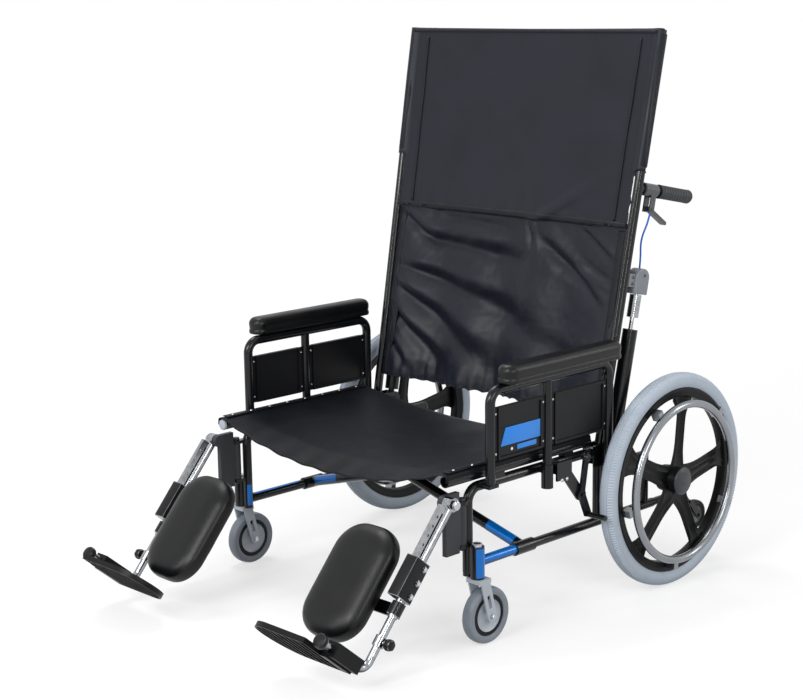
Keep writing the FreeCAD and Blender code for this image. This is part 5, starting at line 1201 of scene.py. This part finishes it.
for side, sign in SIDES:
    shape = bmesh.new()
    slab(shape, (31.4, 47.4, 92.6), (0, -8, -182.4))
    bevel(shape, list(shape.edges), 3, 3)
    for down in CLAMP_BOLTS:
        slab(shape, (34, 12, 9), (0, 4, -down))
    settle(shape, sign, LEG_PIVOT, LEG_TURN)
    keep(f"{side}_leg_clamp", shape, f"{side}_legrest", "black_plastic", black_abs)
    shape = bmesh.new()
    for down in CLAMP_BOLTS:
        for outward in (1, -1):
            turned(shape, BOLT, Vector((outward * 17, 4, -down)) * MM, (outward, 0, 0), 6)
    turned(shape, PIVOT_CAP, Vector((19, 0, 0)) * MM, (1, 0, 0), 28)
    settle(shape, sign, LEG_PIVOT, LEG_TURN)
    keep(f"{side}_leg_bolts", shape, f"{side}_legrest", "steel", zinc, crease=25)
    shape = bmesh.new()
    turned(shape, END_CAP, Vector((0, 0, -END_CAP_DOWN)) * MM, (0, -1, 0), 36)
    knob = turned(shape, KNOB, (0, 0, -KNOB_DOWN), (1, 0, 0), 24)
    for vert in {vert for face in knob for vert in face.verts}:
        grip_angle = math.atan2(vert.co.y, vert.co.z + KNOB_DOWN)
        lobes = 1 + 0.06 * math.cos(KNOB_LOBES * grip_angle)
        vert.co = (vert.co.x, vert.co.y * lobes, (vert.co.z + KNOB_DOWN) * lobes - KNOB_DOWN)
    settle(shape, sign, LEG_PIVOT, LEG_TURN)
    keep(f"{side}_foot_knobs", shape, f"{side}_foot_tube", "black_plastic", black_abs)
print("legrest fittings made")

# %% [markdown]
# Last come the small parts that catch the eye: the grey recline head with its screws, the bright caps on
# the caster housings and axles, screws on the frame's brackets, and the pale plug in the right seat rail.

# %% Small parts
HEAD_ALONG = 393.5
# Each screw of the head: outwards, behind and along the cane.
HEAD_SCREWS = ((9, 20, 386), (9, 20, 401), (14.5, 56, 408))
HOUSING_CAP = [(0, 7.2), (6, 7.2), (10.6, 5.2), (11.2, 0), (0, 0)]
HOUSING_TOP = 0.2242
CASTER_AXLE = Vector((0, 0.025, 0.0635))
FORK_SIDE = 0.0225
BRACKET_SCREWS = ((0.066, 0.318), (0.083, 0.318), (-0.213, 0.300), (-0.213, 0.240))
BRACKET_SCREW_SIZE = 1.1
RAIL_PLUG = [(0, 5.5), (9, 5.5), (12, 4.2), (13, 1.4), (13, -1), (0, -1)]

for side, sign in SIDES:
    shape = bmesh.new()
    slab(shape, (29, 49, 60), (0, 52, HEAD_ALONG))
    bevel(shape, [edge for edge in shape.edges if upright(edge, 0) and edge.verts[0].co.z > 0.4], 22, 8)
    bevel(shape, [edge for edge in shape.edges if not upright(edge, 0)], 3.5, 3)
    slab(shape, (18, 26, 30), (0, 20, HEAD_ALONG))
    settle(shape, sign, CANE_FOOT, CANE_TURN)
    head = keep(f"{side}_lock_head", shape, f"{side}_back", "grey_plastic", grey_abs, crease=35)
    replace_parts(head, f"{side}_recline_head")
    shape = bmesh.new()
    for place in HEAD_SCREWS:
        turned(shape, DOME, Vector(place) * MM, (1, 0, 0), DOME_STEPS)
    settle(shape, sign, CANE_FOOT, CANE_TURN)
    keep(f"{side}_head_screws", shape, f"{side}_back", "steel", lever_cast)

    stem = Vector((sign * CASTER_X, FRONT_POST_Y, 0))
    shape = bmesh.new()
    turned(shape, HOUSING_CAP, stem + UP * HOUSING_TOP, UP, 32)
    for outward in (1, -1):
        turned(shape, BOLT, stem + CASTER_AXLE + Vector((outward * FORK_SIDE, 0, 0)), (outward, 0, 0), 6)
    keep(f"{side}_caster_bolts", shape, f"{side}_caster_fork", "steel", zinc, crease=25)

    side_form = form_of(f"{side}_side_frame")
    shape = bmesh.new()
    for y, z in BRACKET_SCREWS:
        stud(shape, side_form, (-sign, 0, 0), (sign * 0.6, y, z), BRACKET_SCREW_SIZE)
    keep(f"{side}_bracket_screws", shape, f"{side}_frame", "steel", zinc)
lathe("right_rail_plug", RAIL_PLUG, (-RAIL_X, AXLE_Y - 0.684, SEAT_RAIL_Z), -FORWARD, 32, "cross_a",
      "grey_plastic", pale_cast)
print("small parts fitted")

# %% [markdown]
# The slings' flat size is larger than the gap they span, because of the wrap, the sag and the folds.  When
# the frame folds, cloth can't follow two rails at once.  Here each sling, and what is sewn or screwed to it,
# is only given a mesh of its own.

# %% Own meshes for the cloth
for piece in (back_lower, back_upper, back_hems, back_stitches):
    crumple(piece)
for piece in (seat_sling, *seat_trim):
    crumple(piece)
